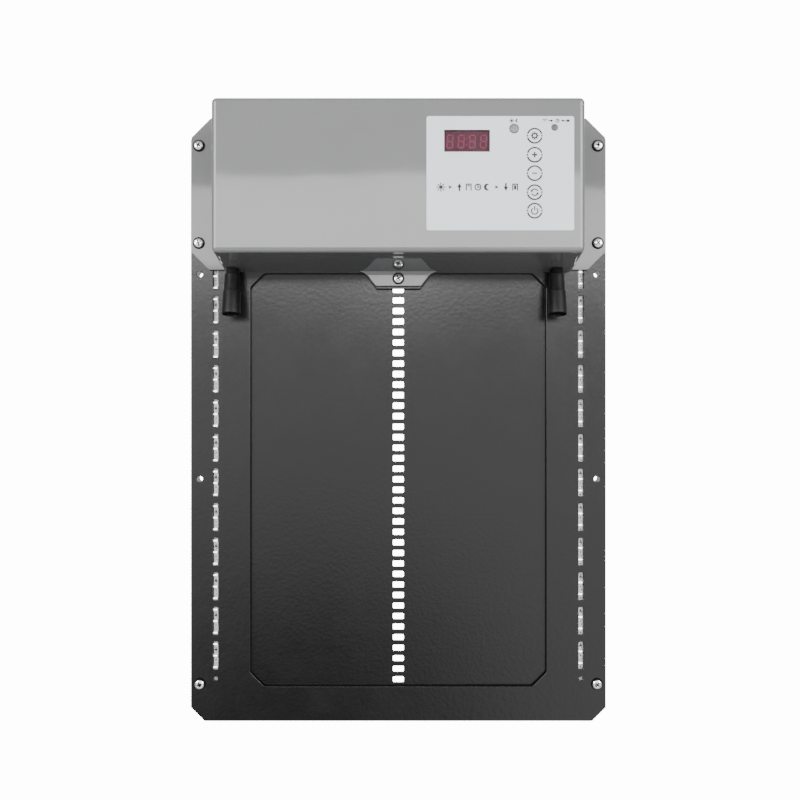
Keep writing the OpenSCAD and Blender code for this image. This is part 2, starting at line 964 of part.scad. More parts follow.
module gearbox_case() {
    color("dimgray")
    difference() {
        union() {
            difference() {
                translate([case_x0, case_y0, case_z0])
                    cube([case_x1 - case_x0 - lid_t - 0.05, case_y1 - case_y0, case_z1 - case_z0]);
                translate([case_x0 + case_wall, case_y0 + case_wall, case_z0 + case_wall])
                    cube([
                        case_x1 - case_x0, case_y1 - case_y0 - 2 * case_wall,
                        case_z1 - case_z0 - 2 * case_wall
                    ]);
            }
            for (p = case_screw)
                xcyl(case_x0 + 1, p[0], p[1], case_boss_r, case_x1 - case_x0 - lid_t - 1.1);
            translate([worm_x - 4, case_y0 + 1, worm_z0 - 3.5])
                cube([8, worm_y + 4 - case_y0 - 1, 2.9]);
        }
        xcyl(case_x0 - 1, out_y, out_z, shaft_d / 2 + 0.05, 5);
        xcyl(case_x0 + 0.45, cluster_y, cluster_z, axle_r + 0.02, 5);
        translate([worm_x, worm_y, case_z1 - 5])
            cylinder(r = 4.4, h = 10);
        translate([worm_x, worm_y, worm_z0 - 3.2])
            cylinder(r = 1.05, h = 5);
        for (p = case_screw)
            xcyl(case_x0 - 1, p[0], p[1], m3_hole_r, 12);
    }
}

module gearbox_lid() {
    color("dimgray")
    difference() {
        translate([case_x1 - lid_t, case_y0, case_z0])
            cube([lid_t, case_y1 - case_y0, case_z1 - case_z0]);
        xcyl(case_x1 - 3, out_y, out_z, shaft_d / 2 + 0.05, 5);
        xcyl(case_x1 - 3, cluster_y, cluster_z, axle_r + 0.02, 2.6);
    }
}

module gearbox_screws() {
    color("silver")
    for (p = case_screw)
        translate([bracket_x0, p[0], p[1]])
            rotate([0, 90, 0])
                small_screw(8);
}

module motor_bracket() {
    color("lightsteelblue")
    difference() {
        union() {
            translate([bracket_x0, case_y0, bracket_z0])
                cube([bracket_t - 0.05, y_front - case_y0, bracket_z1 - bracket_z0]);
            translate([bracket_x0, y_front - bracket_t, bracket_z0])
                cube([bracket_x1 - bracket_x0, bracket_t, case_z0 - bracket_z0 - 1.5]);
            translate([bracket_x0, y_front - bracket_t, case_z1 + 1.5])
                cube([bracket_x1 - bracket_x0, bracket_t, bracket_z1 - case_z1 - 1.5]);
        }
        xcyl(bracket_x0 - 1, out_y, out_z, 6, 4);
        for (p = case_screw)
            xcyl(bracket_x0 - 1, p[0], p[1], m3_hole_r, 4);
        for (z = bracket_screw_z)
            ycyl(bracket_screw_x, y_front - bracket_t - 2, z, m3_hole_r, 6);
    }
}

module bracket_screws() {
    color("silver")
    for (z = bracket_screw_z)
        translate([bracket_screw_x, y_front - bracket_t, z])
            rotate([-90, 0, 0])
                small_screw(4);
}

module control_board() {
    color("darkgreen")
    difference() {
        translate([board_x0, board_y0, board_z0])
            cube([board_x1 - board_x0, board_t, board_z1 - board_z0]);
        for (x = board_screw_x, z = board_screw_z)
            ycyl(x, board_y0 - 1, z, 1.25, 4);
    }
}

module board_screws() {
    color("silver")
    for (x = board_screw_x, z = board_screw_z)
        translate([x, board_y0 + board_t, z])
            rotate([90, 0, 0])
                small_screw(5, 1.15, 2.2, 1.4);
}

module tact_switches() {
    color("#252525")
    for (z = button_z)
        translate([button_x - 3, board_y0 - tact_h, z - 3])
            cube([6, tact_h, 6]);
}

module board_parts() {
    y = board_y0 + board_t;
    color("#252525")
    translate([60, y, 200])
        cube([14, 12, 19]);
    color("#252525")
    translate([38, y, 180])
        cube([10, 2, 10]);
    color("#252525")
    translate([58, y, 180])
        cube([8, 1.8, 5]);
    color("#252525")
    ycyl(48, y, 222, 6, 9);
    color("whitesmoke")
    for (x = [76, 92])
        translate([x, y, 176])
            cube([12, 8, 6]);
    color("#303060")
    for (x = [84, 96])
        ycyl(x, y, 226, 4, 11);
}

// Open tray with end walls for two round cells, screwed down between them
module battery_holder() {
    color("#202022")
    difference() {
        translate([holder_x0, holder_y0, cell_z[0] - 11])
            cube([holder_x1 - holder_x0, y_front - 0.1 - holder_y0, cell_z[1] - cell_z[0] + 22]);
        for (z = cell_z) {
            xcyl(holder_x0 + 2.5, cell_y, z, cell_r + 0.3, cell_l + 2);
            translate([holder_x0 + 2.5, cell_y - 15, z - cell_r - 0.3])
                cube([cell_l + 2, 15, 2 * cell_r + 0.6]);
        }
        for (x = holder_screw_x) {
            ycyl(x, holder_y0 - 1, holder_screw_z, 3, holder_seat_y - holder_y0 + 1);
            ycyl(x, holder_seat_y - 1, holder_screw_z, m3_hole_r, 6);
        }
    }
}

module holder_screws() {
    color("silver")
    for (x = holder_screw_x)
        translate([x, holder_seat_y, holder_screw_z])
            rotate([-90, 0, 0])
                small_screw(y_rear - holder_seat_y);
}

module battery_cells() {
    color("steelblue")
    for (z = cell_z) {
        xcyl(holder_x0 + 3.5, cell_y, z, cell_r, cell_l - 1.2);
        xcyl(holder_x0 + cell_l + 2, cell_y, z, 2.8, 1.4);
    }
}

front_panel();
door_panel();
left_side_frame();
right_side_frame();
left_door_guide();
right_door_guide();
left_light_strip();
right_light_strip();
left_strip_lamps();
right_strip_lamps();
strip_resistors();
housing_cover();
keypad_label();
display_window();
display_module();
light_sensor();
status_lamp();
button_set();
button_plus();
button_minus();
button_cycle();
button_power();
left_cable_boot();
right_cable_boot();
flange_screws();
tab_screw();
frame_screws();
frame_nuts();
rear_bridge();
bridge_screws();
backing_pads();
door_pinion();
output_shaft();
output_gear();
cluster_axle();
worm_wheel();
worm();
motor_can();
motor_terminals();
gearbox_case();
gearbox_lid();
gearbox_screws();
motor_bracket();
bracket_screws();
control_board();
board_screws();
tact_switches();
board_parts();
battery_holder();
holder_screws();
battery_cells();
left_socket();
right_socket();
socket_nuts();
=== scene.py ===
import math

import bmesh
import bpy
from mathutils import Matrix, Vector


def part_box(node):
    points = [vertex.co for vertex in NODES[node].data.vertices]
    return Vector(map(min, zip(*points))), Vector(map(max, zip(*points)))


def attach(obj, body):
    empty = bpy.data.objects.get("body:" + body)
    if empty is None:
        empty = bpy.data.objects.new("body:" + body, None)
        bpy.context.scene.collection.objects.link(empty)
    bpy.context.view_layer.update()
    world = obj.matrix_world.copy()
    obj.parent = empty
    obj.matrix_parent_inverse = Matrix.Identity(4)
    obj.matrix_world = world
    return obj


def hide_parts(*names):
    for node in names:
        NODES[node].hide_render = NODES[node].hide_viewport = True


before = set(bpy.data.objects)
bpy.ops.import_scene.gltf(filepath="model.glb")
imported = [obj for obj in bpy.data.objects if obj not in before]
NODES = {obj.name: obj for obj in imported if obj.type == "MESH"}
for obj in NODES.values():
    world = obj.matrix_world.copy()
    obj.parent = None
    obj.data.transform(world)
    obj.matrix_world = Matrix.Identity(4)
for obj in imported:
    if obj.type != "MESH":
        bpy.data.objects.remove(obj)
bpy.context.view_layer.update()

# Automatic coop door: the looks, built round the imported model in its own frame.
# Metres, +Z up, the front faces -Y. Sizes marked _MM are millimetres and go through MM.

MM = 0.001

# ---------------------------------------------------------------- sizes from the frame

PANEL_LO, PANEL_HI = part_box("front_panel")
DOOR_LO, DOOR_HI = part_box("door_panel")
COVER_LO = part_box("housing_cover")[0]
LABEL_LO, LABEL_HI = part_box("keypad_label")
LENS_LO, LENS_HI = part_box("display_window")
BUTTONS = ("button_set", "button_plus", "button_minus", "button_cycle", "button_power")

HOLE_X = 143.5 * MM
HOLE_R = 2.15 * MM
WALL_HOLE_Z = (0.0, 148 * MM)
FRAME_SCREW_Z = -148 * MM
FLANGE_SCREW_Z = (170 * MM, 240 * MM)
TAB_SCREW_Z = 144.5 * MM
SLOT_X = 132 * MM
SLOT_W = 3.8 * MM
SLOT_L = 20 * MM
SLOT_PITCH = 25 * MM
SLOT_COUNT = 12
FIRST_SLOT_Z = PANEL_LO.z + 47.5 * MM
WAY_HALF_W = 107 * MM
WAY_Z0 = PANEL_LO.z + 25 * MM
WAY_Z1 = PANEL_LO.z + 323.6 * MM
WAY_CUT = 10 * MM
LADDER_PITCH = 7.65 * MM
LADDER_COUNT = 49
LADDER_W = 7.8 * MM
LADDER_H = 4.35 * MM
LADDER_Z0 = PANEL_LO.z + 29.1 * MM
PINION_SLOT = 43
PINION_WINDOW = (17 * MM, 47 * MM)
STRIP_HOLE_Z = PANEL_LO.z + 30.8 * MM
STRIP_HOLE_R = 1.5 * MM
BOX_HALF_W = 126.5 * MM
BOX_Z0 = 150.8 * MM
BOX_Z1 = 259.8 * MM
BOX_DRAFT = 3.4 * MM
UNDER_DROP = 1.3 * MM
BOX_FRONT_R = 3.3 * MM
BOX_CORNER_R = 4.5 * MM
FLANGE_T = 3 * MM
FLANGE_CUT_LO = 12.7 * MM
FLANGE_CUT_HI = 13.8 * MM
PANEL_CUT_LO = 10 * MM
PANEL_CUT_HI = 20 * MM
WALL_T = 2.5 * MM
INLET_X = (-117.5 * MM, 112 * MM)
INLET_Y = -25 * MM
BOOT_TILT = math.radians(11)
BUTTON_HOLE_R = 5.2 * MM
SENSOR_HOLE_R = 3.2 * MM
LAMP_HOLE_R = 2.2 * MM
LABEL_GAP = 0.05 * MM
LABEL_FRONT = LABEL_LO.y
INK_T = 0.02 * MM
RING_R = 4.7 * MM
RING_W = 0.95 * MM
SIGN_W = 0.75 * MM
CAP_R = 5.12 * MM
CAP_RIM_R = 5.9 * MM
PLUNGER_R = 1.75 * MM
HEAD_R = 4.25 * MM
HEAD_H = 2.6 * MM
LAMPS_PER_SLOT = 3

# ---------------------------------------------------------------- camera and light values

CAMERA_PLACE = (0.0012, -0.727, 0.0571)
CAMERA_LENS = 44.53
SENSOR_WIDTH = 36
DARK_PATCH = (-0.10, -0.93, -0.36)
ROOM_LEVEL = 1.65
CEILING_LEVEL = 1.15
GROUND_LEVEL = 1.25
FLANK_SHARE = 0.25
BACKDROP_GLOW = 2.0
BACKDROP_WHITE = 14.0
WINDOW_Y = -1.481
WINDOW_LEVEL = 6.8
SIDE_LEVEL = 11.2
FLOOR_Z = -1.2


# ---------------------------------------------------------------- node helpers

def new_material(name):
    """A material with nodes; returns it with its tree and its shader."""
    material = bpy.data.materials.new(name)
    material.use_nodes = True
    tree = material.node_tree
    return material, tree, tree.nodes["Principled BSDF"]


def object_coords(tree):
    """The object's own coordinates, which here are the frame's."""
    return tree.nodes.new("ShaderNodeTexCoord").outputs["Object"]


def noise(tree, size, detail=2.0, roughness=0.5, stretch=(1, 1, 1)):
    """Noise whose grains are about size metres across; returns its factor output."""
    mapping = tree.nodes.new("ShaderNodeMapping")
    mapping.inputs["Scale"].default_value = stretch
    tree.links.new(object_coords(tree), mapping.inputs["Vector"])
    texture = tree.nodes.new("ShaderNodeTexNoise")
    texture.inputs["Scale"].default_value = 1 / size
    texture.inputs["Detail"].default_value = detail
    texture.inputs["Roughness"].default_value = roughness
    tree.links.new(mapping.outputs["Vector"], texture.inputs["Vector"])
    return texture.outputs["Fac"]


def ramp(tree, source, low, high, from_low=0.3, from_high=0.7):
    """Maps a factor to a range of numbers."""
    node = tree.nodes.new("ShaderNodeMapRange")
    node.inputs["From Min"].default_value = from_low
    node.inputs["From Max"].default_value = from_high
    node.inputs["To Min"].default_value = low
    node.inputs["To Max"].default_value = high
    tree.links.new(source, node.inputs["Value"])
    return node.outputs["Result"]


def mix_colour(tree, factor, first, second):
    """Mixes two colours, each a tuple or a socket, by a factor socket."""
    node = tree.nodes.new("ShaderNodeMix")
    node.data_type = "RGBA"
    tree.links.new(factor, node.inputs["Factor"])
    for value, socket in ((first, node.inputs["A"]), (second, node.inputs["B"])):
        if isinstance(value, tuple):
            socket.default_value = (*value, 1)
        else:
            tree.links.new(value, socket)
    return node.outputs["Result"]


def paint(tree, shader, factor, first, second):
    """Colours the surface between two colours by a factor."""
    tone = mix_colour(tree, ramp(tree, factor, 0, 1), first, second)
    tree.links.new(tone, shader.inputs["Base Color"])


def roughen(tree, shader, factor, low, high):
    """Spreads the roughness between two values by a factor."""
    tree.links.new(ramp(tree, factor, low, high), shader.inputs["Roughness"])


def grey(value, tint=(1.0, 1.0, 1.0)):
    """A grey of a given lightness with a slight tint."""
    return tuple(value * t for t in tint)


def bump(tree, shader, layers):
    """Adds bump layers, each (height socket, depth in metres), one on the other."""
    normal = None
    for height, depth in layers:
        node = tree.nodes.new("ShaderNodeBump")
        node.inputs["Strength"].default_value = 1.0
        node.inputs["Distance"].default_value = depth
        tree.links.new(height, node.inputs["Height"])
        if normal is not None:
            tree.links.new(normal, node.inputs["Normal"])
        normal = node.outputs["Normal"]
    tree.links.new(normal, shader.inputs["Normal"])


# ---------------------------------------------------------------- materials

def powder_coat(name, base, tint=(1.0, 1.0, 1.02), rough=(0.19, 0.23), grain=0.0006):
    """Satin powder coat: orange peel, fine grain, faint cloudiness and rubbed patches."""
    material, tree, shader = new_material(name)
    cloud = noise(tree, 0.05, 3.0)
    speck = noise(tree, 0.0007, 2.0)
    tone = mix_colour(tree, ramp(tree, cloud, 0, 1), grey(base * 0.88, tint), grey(base * 1.12, tint))
    tone = mix_colour(tree, ramp(tree, speck, 0, 0.3, 0.55, 0.75), tone, grey(base * 2.4, tint))
    tree.links.new(tone, shader.inputs["Base Color"])
    rubbed = noise(tree, 0.02, 4.0, 0.6)
    roughen(tree, shader, rubbed, *rough)
    bump(tree, shader, [(noise(tree, 0.0026, 1.0), 0.00005), (noise(tree, grain, 1.0), 0.000012)])
    return material


def moulded(name, base, tint=(1.0, 1.0, 1.0), rough=(0.42, 0.56), grain=0.0003, depth=0.00001):
    """Moulded plastic with a fine spark-eroded texture and slight flow variation."""
    material, tree, shader = new_material(name)
    flow = noise(tree, 0.018, 3.0, 0.6, (1, 1, 0.4))
    paint(tree, shader, flow, grey(base * 0.92, tint), grey(base * 1.08, tint))
    roughen(tree, shader, noise(tree, 0.006, 3.0), *rough)
    bump(tree, shader, [(noise(tree, grain, 2.0), depth)])
    return material


def gloss_housing(name):
    """Glossy grey moulding: slow sink waviness, fine handling marks, faint flow clouds."""
    material, tree, shader = new_material(name)
    tint = (0.99, 1.0, 1.02)
    flow = noise(tree, 0.045, 3.0, 0.55)
    paint(tree, shader, flow, grey(0.133, tint), grey(0.143, tint))
    marks = noise(tree, 0.012, 5.0, 0.7, (1, 1, 2.5))
    roughen(tree, shader, marks, 0.035, 0.075)
    bump(tree, shader, [(noise(tree, 0.05, 1.0), 0.00014), (noise(tree, 0.0012, 1.0), 0.0000012)])
    return material


def label_film(name, base=0.66):
    """Screen printed polycarbonate film with a fine velvet texture."""
    material, tree, shader = new_material(name)
    tint = (0.955, 0.99, 1.03)
    cloud = noise(tree, 0.03, 2.0)
    paint(tree, shader, cloud, grey(base * 0.975, tint), grey(base * 1.02, tint))
    roughen(tree, shader, noise(tree, 0.008, 3.0), 0.36, 0.46)
    bump(tree, shader, [(noise(tree, 0.00018, 1.0), 0.000004)])
    return material


def printed_ink(name, base, tint=(1.0, 1.0, 1.0)):
    """Screen ink: near flat, with pinholes and an uneven lay."""
    material, tree, shader = new_material(name)
    lay = noise(tree, 0.0004, 3.0)
    paint(tree, shader, lay, grey(base * 0.75, tint), grey(base * 1.35, tint))
    roughen(tree, shader, lay, 0.45, 0.6)
    return material


def plated(name, base=0.62, tint=(1.0, 0.995, 0.98), rough=(0.14, 0.30), stretch=(1, 1, 1)):
    """Plated or ground metal with fine lay marks and dulled spots."""
    material, tree, shader = new_material(name)
    shader.inputs["Metallic"].default_value = 1.0
    dull = noise(tree, 0.0016, 4.0, 0.6)
    paint(tree, shader, dull, grey(base * 0.85, tint), grey(base * 1.08, tint))
    roughen(tree, shader, dull, *rough)
    bump(tree, shader, [(noise(tree, 0.0005, 2.0, 0.5, stretch), 0.000006)])
    return material


def rubber(name):
    """Black moulded rubber with a dusty bloom and a low sheen."""
    material, tree, shader = new_material(name)
    bloom = noise(tree, 0.007, 4.0, 0.65)
    paint(tree, shader, bloom, grey(0.0035), grey(0.007))
    roughen(tree, shader, bloom, 0.40, 0.52)
    shader.inputs["Specular IOR Level"].default_value = 0.2
    bump(tree, shader, [(noise(tree, 0.0005, 2.0), 0.000012)])
    return material


def tinted_lens(name):
    """Clear red-brown window over the digits."""
    material, tree, shader = new_material(name)
    haze = noise(tree, 0.006, 3.0)
    paint(tree, shader, haze, (0.06, 0.012, 0.022), (0.075, 0.014, 0.028))
    roughen(tree, shader, haze, 0.08, 0.16)
    shader.inputs["Alpha"].default_value = 0.16
    shader.inputs["Specular IOR Level"].default_value = 0.1
    return material


def board_resist(name):
    """Circuit board: green resist over a faint copper pattern."""
    material, tree, shader = new_material(name)
    tracks = noise(tree, 0.0015, 0.0, 0.5, (1, 1, 6))
    tone = mix_colour(tree, ramp(tree, tracks, 0, 1, 0.46, 0.54), (0.008, 0.09, 0.035), (0.02, 0.16, 0.06))
    tree.links.new(tone, shader.inputs["Base Color"])
    roughen(tree, shader, noise(tree, 0.003, 2.0), 0.22, 0.36)
    bump(tree, shader, [(tracks, 0.00003)])
    return material


def lamp_phosphor_painted_highlight(name):
    """Milky resin over a lamp chip, white with a trace of yellow, whose glow is a painted highlight."""
    material, tree, shader = new_material(name)
    grains = noise(tree, 0.0003, 2.0)
    paint(tree, shader, grains, (0.92, 0.92, 0.88), (0.97, 0.97, 0.94))
    roughen(tree, shader, grains, 0.12, 0.24)
    # Painted highlight: the emission stands in for the glint on the lamp resin.
    shader.inputs["Emission Color"].default_value = (1.0, 1.0, 0.98, 1)
    shader.inputs["Emission Strength"].default_value = 4.0
    bump(tree, shader, [(grains, 0.00001)])
    return material


def shrink_film(name):
    """Glossy blue shrink film of a round cell."""
    material, tree, shader = new_material(name)
    wrinkle = noise(tree, 0.004, 3.0, 0.6, (0.2, 1, 1))
    paint(tree, shader, wrinkle, (0.03, 0.12, 0.30), (0.05, 0.17, 0.38))
    roughen(tree, shader, wrinkle, 0.18, 0.3)
    bump(tree, shader, [(wrinkle, 0.00006)])
    return material


PANEL_COAT = powder_coat("panel_powder_coat", 0.0027)
DOOR_COAT = powder_coat("door_powder_coat", 0.0030, rough=(0.17, 0.21), grain=0.0007)
FRAME_COAT = powder_coat("frame_powder_coat", 0.0060, rough=(0.36, 0.44))
HOUSING = gloss_housing("housing_grey_gloss")
FILM = label_film("keypad_film", 0.62)
CAP_FILM = label_film("button_film", 0.605)
INK_DARK = printed_ink("ink_dark", 0.010)
GUIDE_NYLON = moulded("guide_black_nylon", 0.018, rough=(0.45, 0.6))
PAD_NYLON = moulded("pad_white_nylon", 0.68, (1.0, 1.0, 0.985))
GEAR_ACETAL = moulded("gear_acetal", 0.58, (1.0, 0.94, 0.78))
CASE_BLACK = moulded("case_black_nylon", 0.03)
CHIP_BLACK = moulded("chip_black_resin", 0.022, rough=(0.35, 0.5))
STRIP_WHITE = moulded("strip_white_resist", 0.72, (0.99, 1.0, 1.01), (0.3, 0.4), 0.0005)
LAMP_BODY = moulded("lamp_white_body", 0.88, (1.0, 1.0, 0.995), (0.2, 0.3))
PHOSPHOR_PAINTED_HIGHLIGHT = lamp_phosphor_painted_highlight("lamp_phosphor_painted_highlight")
DISPLAY_FACE = moulded("display_maroon_face", 0.050, (1.0, 0.13, 0.36), (0.28, 0.38), 0.0005)
SEGMENT_RED = moulded("segment_red_resin", 0.22, (1.0, 0.13, 0.33), (0.25, 0.35), 0.0005)
LENS = tinted_lens("display_tinted_lens")
SENSOR = moulded("sensor_frosted_lens", 0.165, (1.0, 1.005, 1.01), (0.22, 0.34), 0.0006)
SENSOR_RIM = moulded("sensor_rim_grey", 0.06, (1.0, 1.0, 1.0), (0.3, 0.4), 0.0006)
LAMP_LENS = moulded("status_frosted_lens", 0.07, (1.0, 1.0, 1.005), (0.22, 0.34), 0.0006)
RUBBER = rubber("boot_black_rubber")
SCREW = plated("screw_plated", 0.90, rough=(0.05, 0.11))
# Painted shade: a dark plated tone that goes into the screw heads' cross recess and onto their outer rim
# ring.
SCREW_PAINTED_SHADE = plated("screw_painted_shade", 0.04, rough=(0.25, 0.4))
SHAFT = plated("shaft_ground_steel", 0.55, (1.0, 1.0, 1.0), (0.2, 0.34), (8, 1, 1))
CAN_STEEL = plated("motor_drawn_steel", 0.5, (1.0, 1.0, 1.0), (0.26, 0.4), (1, 1, 6))
BRASS = plated("worm_turned_brass", 0.75, (1.0, 0.74, 0.34), (0.2, 0.34))
ZINC = plated("bracket_zinc_plate", 0.6, (0.97, 1.0, 1.03), (0.26, 0.42))
BOARD = board_resist("board_green_resist")
CELL_WRAP = shrink_film("cell_blue_film")


# ---------------------------------------------------------------- mesh helpers

def soften(mesh, angle=math.radians(35), flats=True):
    """Smooth shading with sharp creases; big flat faces keep their own shading."""
    mesh.shade_smooth()
    bm = bmesh.new()
    bm.from_mesh(mesh)
    for edge in bm.edges:
        faces = edge.link_faces
        crease = len(faces) != 2 or faces[0].normal.angle(faces[1].normal, 0) > angle
        flat = flats and any(abs(f.normal.y) > 0.9999 for f in faces)
        edge.smooth = not (crease or flat)
    bm.to_mesh(mesh)
    bm.free()


def add_piece(name, mesh, body, material, stands_for=()):
    """Puts a finished mesh in the scene on its body."""
    piece = bpy.data.objects.new(name, mesh)
    bpy.context.scene.collection.objects.link(piece)
    if mesh.materials:
        mesh.materials.clear()
    for entry in material if isinstance(material, (list, tuple)) else [material]:
        mesh.materials.append(entry)
    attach(piece, body)
    if stands_for:
        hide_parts(*stands_for)
    return piece


def circle(x, z, radius, steps=48):
    """A round outline."""
    return [
        (x + radius * math.cos(2 * math.pi * i / steps), z + radius * math.sin(2 * math.pi * i / steps))
        for i in range(steps)
    ]


def rounded(points, radius, steps=7):
    """An outline with its corners turned into arcs; radius is one value or one per corner."""
    radii = radius if isinstance(radius, (list, tuple)) else [radius] * len(points)
    out = []
    for i, r in enumerate(radii):
        corner = Vector(points[i])
        if r <= 0:
            out.append(tuple(corner))
            continue
        back = (Vector(points[i - 1]) - corner).normalized()
        ahead = (Vector(points[(i + 1) % len(points)]) - corner).normalized()
        half = back.angle(ahead) / 2
        centre = corner + (back + ahead).normalized() * r / math.sin(half)
        first = corner + back * r / math.tan(half) - centre
        last = corner + ahead * r / math.tan(half) - centre
        start = math.atan2(first.y, first.x)
        sweep = math.remainder(math.atan2(last.y, last.x) - start, 2 * math.pi)
        for k in range(steps + 1):
            angle = start + sweep * k / steps
            out.append((centre.x + r * math.cos(angle), centre.y + r * math.sin(angle)))
    return out


def rectangle(x, z, width, height, radius=0.0, steps=6):
    """An outline round a middle, with turned corners."""
    w, h = width / 2, height / 2
    return rounded([(x - w, z - h), (x + w, z - h), (x + w, z + h), (x - w, z + h)], radius, steps)


def middle_of(node):
    """X and Z of the middle of a node's box."""
    lo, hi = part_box(node)
    return (lo.x + hi.x) / 2, (lo.z + hi.z) / 2


def signed_area(loop):
    """Area of an outline, above zero when it runs anticlockwise."""
    pairs = zip(loop, loop[1:] + loop[:1])
    return sum(a[0] * b[1] - b[0] * a[1] for a, b in pairs) / 2


def plate_mesh(name, outline, holes, y0, y1, edge=0.0, steps=2):
    """A flat sheet in X and Z between y0 and y1, with holes and rounded edges."""
    curve = bpy.data.curves.new(name, "CURVE")
    curve.dimensions = "2D"
    curve.fill_mode = "BOTH"
    curve.extrude = (y1 - y0) / 2 - edge
    curve.bevel_depth = edge
    curve.bevel_resolution = steps
    curve.offset = -edge
    for k, loop in enumerate([outline, *holes]):
        if (signed_area(loop) > 0) == (k > 0):
            loop = loop[::-1]
        spline = curve.splines.new("POLY")
        spline.points.add(len(loop) - 1)
        for point, (x, z) in zip(spline.points, loop):
            point.co = (x, z, 0, 1)
        spline.use_cyclic_u = True
    maker = bpy.data.objects.new(name + "_maker", curve)
    bpy.context.scene.collection.objects.link(maker)
    bpy.context.view_layer.update()
    mesh = bpy.data.meshes.new_from_object(maker.evaluated_get(bpy.context.evaluated_depsgraph_get()))
    bpy.data.objects.remove(maker)
    bpy.data.curves.remove(curve)
    mesh.name = name
    mesh.transform(Matrix.Translation((0, (y0 + y1) / 2, 0)) @ Matrix.Rotation(math.pi / 2, 4, "X"))
    bm = bmesh.new()
    bm.from_mesh(mesh)
    bmesh.ops.remove_doubles(bm, verts=bm.verts, dist=1e-7)
    bmesh.ops.recalc_face_normals(bm, faces=bm.faces)
    bm.to_mesh(mesh)
    bm.free()
    soften(mesh)
    return mesh


def lathe_mesh(name, profile, steps=48, matrix=Matrix.Identity(4)):
    """Turns (radius, height) points about +Z, then places the result. The ends lie on the axis."""
    bm = bmesh.new()
    rings = []
    for radius, height in profile:
        if radius < 1e-9:
            rings.append([bm.verts.new((0, 0, height))])
            continue
        rings.append([bm.verts.new((x, y, height)) for x, y in circle(0, 0, radius, steps)])
    for low, high in zip(rings, rings[1:]):
        for k in range(steps):
            n = (k + 1) % steps
            corners = [low[k % len(low)], low[n % len(low)], high[n % len(high)], high[k % len(high)]]
            unique = list(dict.fromkeys(corners))
            if len(unique) > 2:
                bm.faces.new(unique)
    bmesh.ops.recalc_face_normals(bm, faces=bm.faces)
    mesh = bpy.data.meshes.new(name)
    bm.to_mesh(mesh)
    bm.free()
    mesh.transform(matrix)
    soften(mesh, math.radians(32), flats=False)
    return mesh


def box_mesh(name, lo, hi, edge=0.0, steps=2):
    """A block between two corners with rounded edges."""
    bm = bmesh.new()
    bmesh.ops.create_cube(bm, size=1)
    size = Vector(hi) - Vector(lo)
    centre = (Vector(hi) + Vector(lo)) / 2
    bmesh.ops.transform(bm, matrix=Matrix.Translation(centre) @ Matrix.Diagonal((*size, 1)), verts=bm.verts)
    if edge:
        bmesh.ops.bevel(bm, geom=list(bm.edges), offset=edge, segments=steps, affect="EDGES", profile=0.5)
    mesh = bpy.data.meshes.new(name)
    bm.to_mesh(mesh)
    bm.free()
    return mesh


def join_meshes(name, meshes):
    """One mesh of several; faces keep their material index."""
    bm = bmesh.new()
    for mesh in meshes:
        bm.from_mesh(mesh)
    joined = bpy.data.meshes.new(name)
    bm.to_mesh(joined)
    bm.free()
    for mesh in meshes:
        bpy.data.meshes.remove(mesh)
    return joined


def boolean(mesh, cutters, operation="DIFFERENCE"):
    """Cuts or joins solid meshes exactly and returns the new mesh."""
    target = bpy.data.objects.new("boolean_target", mesh)
    bpy.context.scene.collection.objects.link(target)
    tool = bpy.data.objects.new("boolean_tool", join_meshes("boolean_tool", cutters))
    bpy.context.scene.collection.objects.link(tool)
    modifier = target.modifiers.new("cut", "BOOLEAN")
    modifier.operation = operation
    modifier.solver = "EXACT"
    modifier.use_self = len(cutters) > 1
    modifier.object = tool
    bpy.context.view_layer.update()
    result = bpy.data.meshes.new_from_object(target.evaluated_get(bpy.context.evaluated_depsgraph_get()))
    for thing in (target, tool):
        bpy.data.objects.remove(thing)
    return result


def rod_mesh(start, end, radius, steps=40):
    """A closed round bar between two points."""
    start, end = Vector(start), Vector(end)
    length = (end - start).length
    turn = (end - start).to_track_quat("Z", "Y").to_matrix().to_4x4()
    profile = [(0, 0), (radius, 0), (radius, length), (0, length)]
    return lathe_mesh("rod", profile, steps, Matrix.Translation(start) @ turn)


def dress(node, material, edge=0.25 * MM, rounded_form=True):
    """Keeps a CAD node: a material, its own hard edges marked, and softly broken edges."""
    piece = NODES[node]
    mesh = piece.data
    mesh.materials.clear()
    mesh.materials.append(material)
    bm = bmesh.new()
    bm.from_mesh(mesh)
    rims = [rim.is_boundary for rim in bm.edges]
    bm.free()
    mesh.edges.foreach_set("use_edge_sharp", rims)
    mesh.polygons.foreach_set("use_smooth", [rounded_form] * len(mesh.polygons))
    weld = piece.modifiers.new("weld", "WELD")
    weld.merge_threshold = 1e-6
    if edge:
        bevel = piece.modifiers.new("broken_edges", "BEVEL")
        bevel.width = edge
        bevel.segments = 2
        bevel.limit_method = "ANGLE"
        bevel.angle_limit = math.radians(40)
        bevel.harden_normals = rounded_form
    return piece


# ---------------------------------------------------------------- front panel and door

def doorway_outline():
    """The doorway with clipped, softly turned corners and the panel's own tab hanging into it."""
    w, c = WAY_HALF_W, WAY_CUT
    turn = 4 * MM
    right = [
        (w - c, WAY_Z0), (w, WAY_Z0 + c), (w, WAY_Z1 - c), (w - c, WAY_Z1),
        (24.6 * MM, WAY_Z1), (15.7 * MM, WAY_Z1 - 11.2 * MM),
    ]
    radii = [turn] * 5 + [1.5 * MM]
    return rounded(right + [(-x, z) for x, z in reversed(right)], radii + radii[::-1])


def clipped(lo, hi, cut_lo, cut_hi, turn):
    """A rectangle of X and Z with its corners cut at 45 degrees."""
    x0, z0, x1, z1 = lo.x, lo.z, hi.x, hi.z
    return rounded([
        (x0 + cut_lo, z0), (x1 - cut_lo, z0), (x1, z0 + cut_lo), (x1, z1 - cut_hi),
        (x1 - cut_hi, z1), (x0 + cut_hi, z1), (x0, z1 - cut_hi), (x0, z0 + cut_lo),
    ], turn, 4)


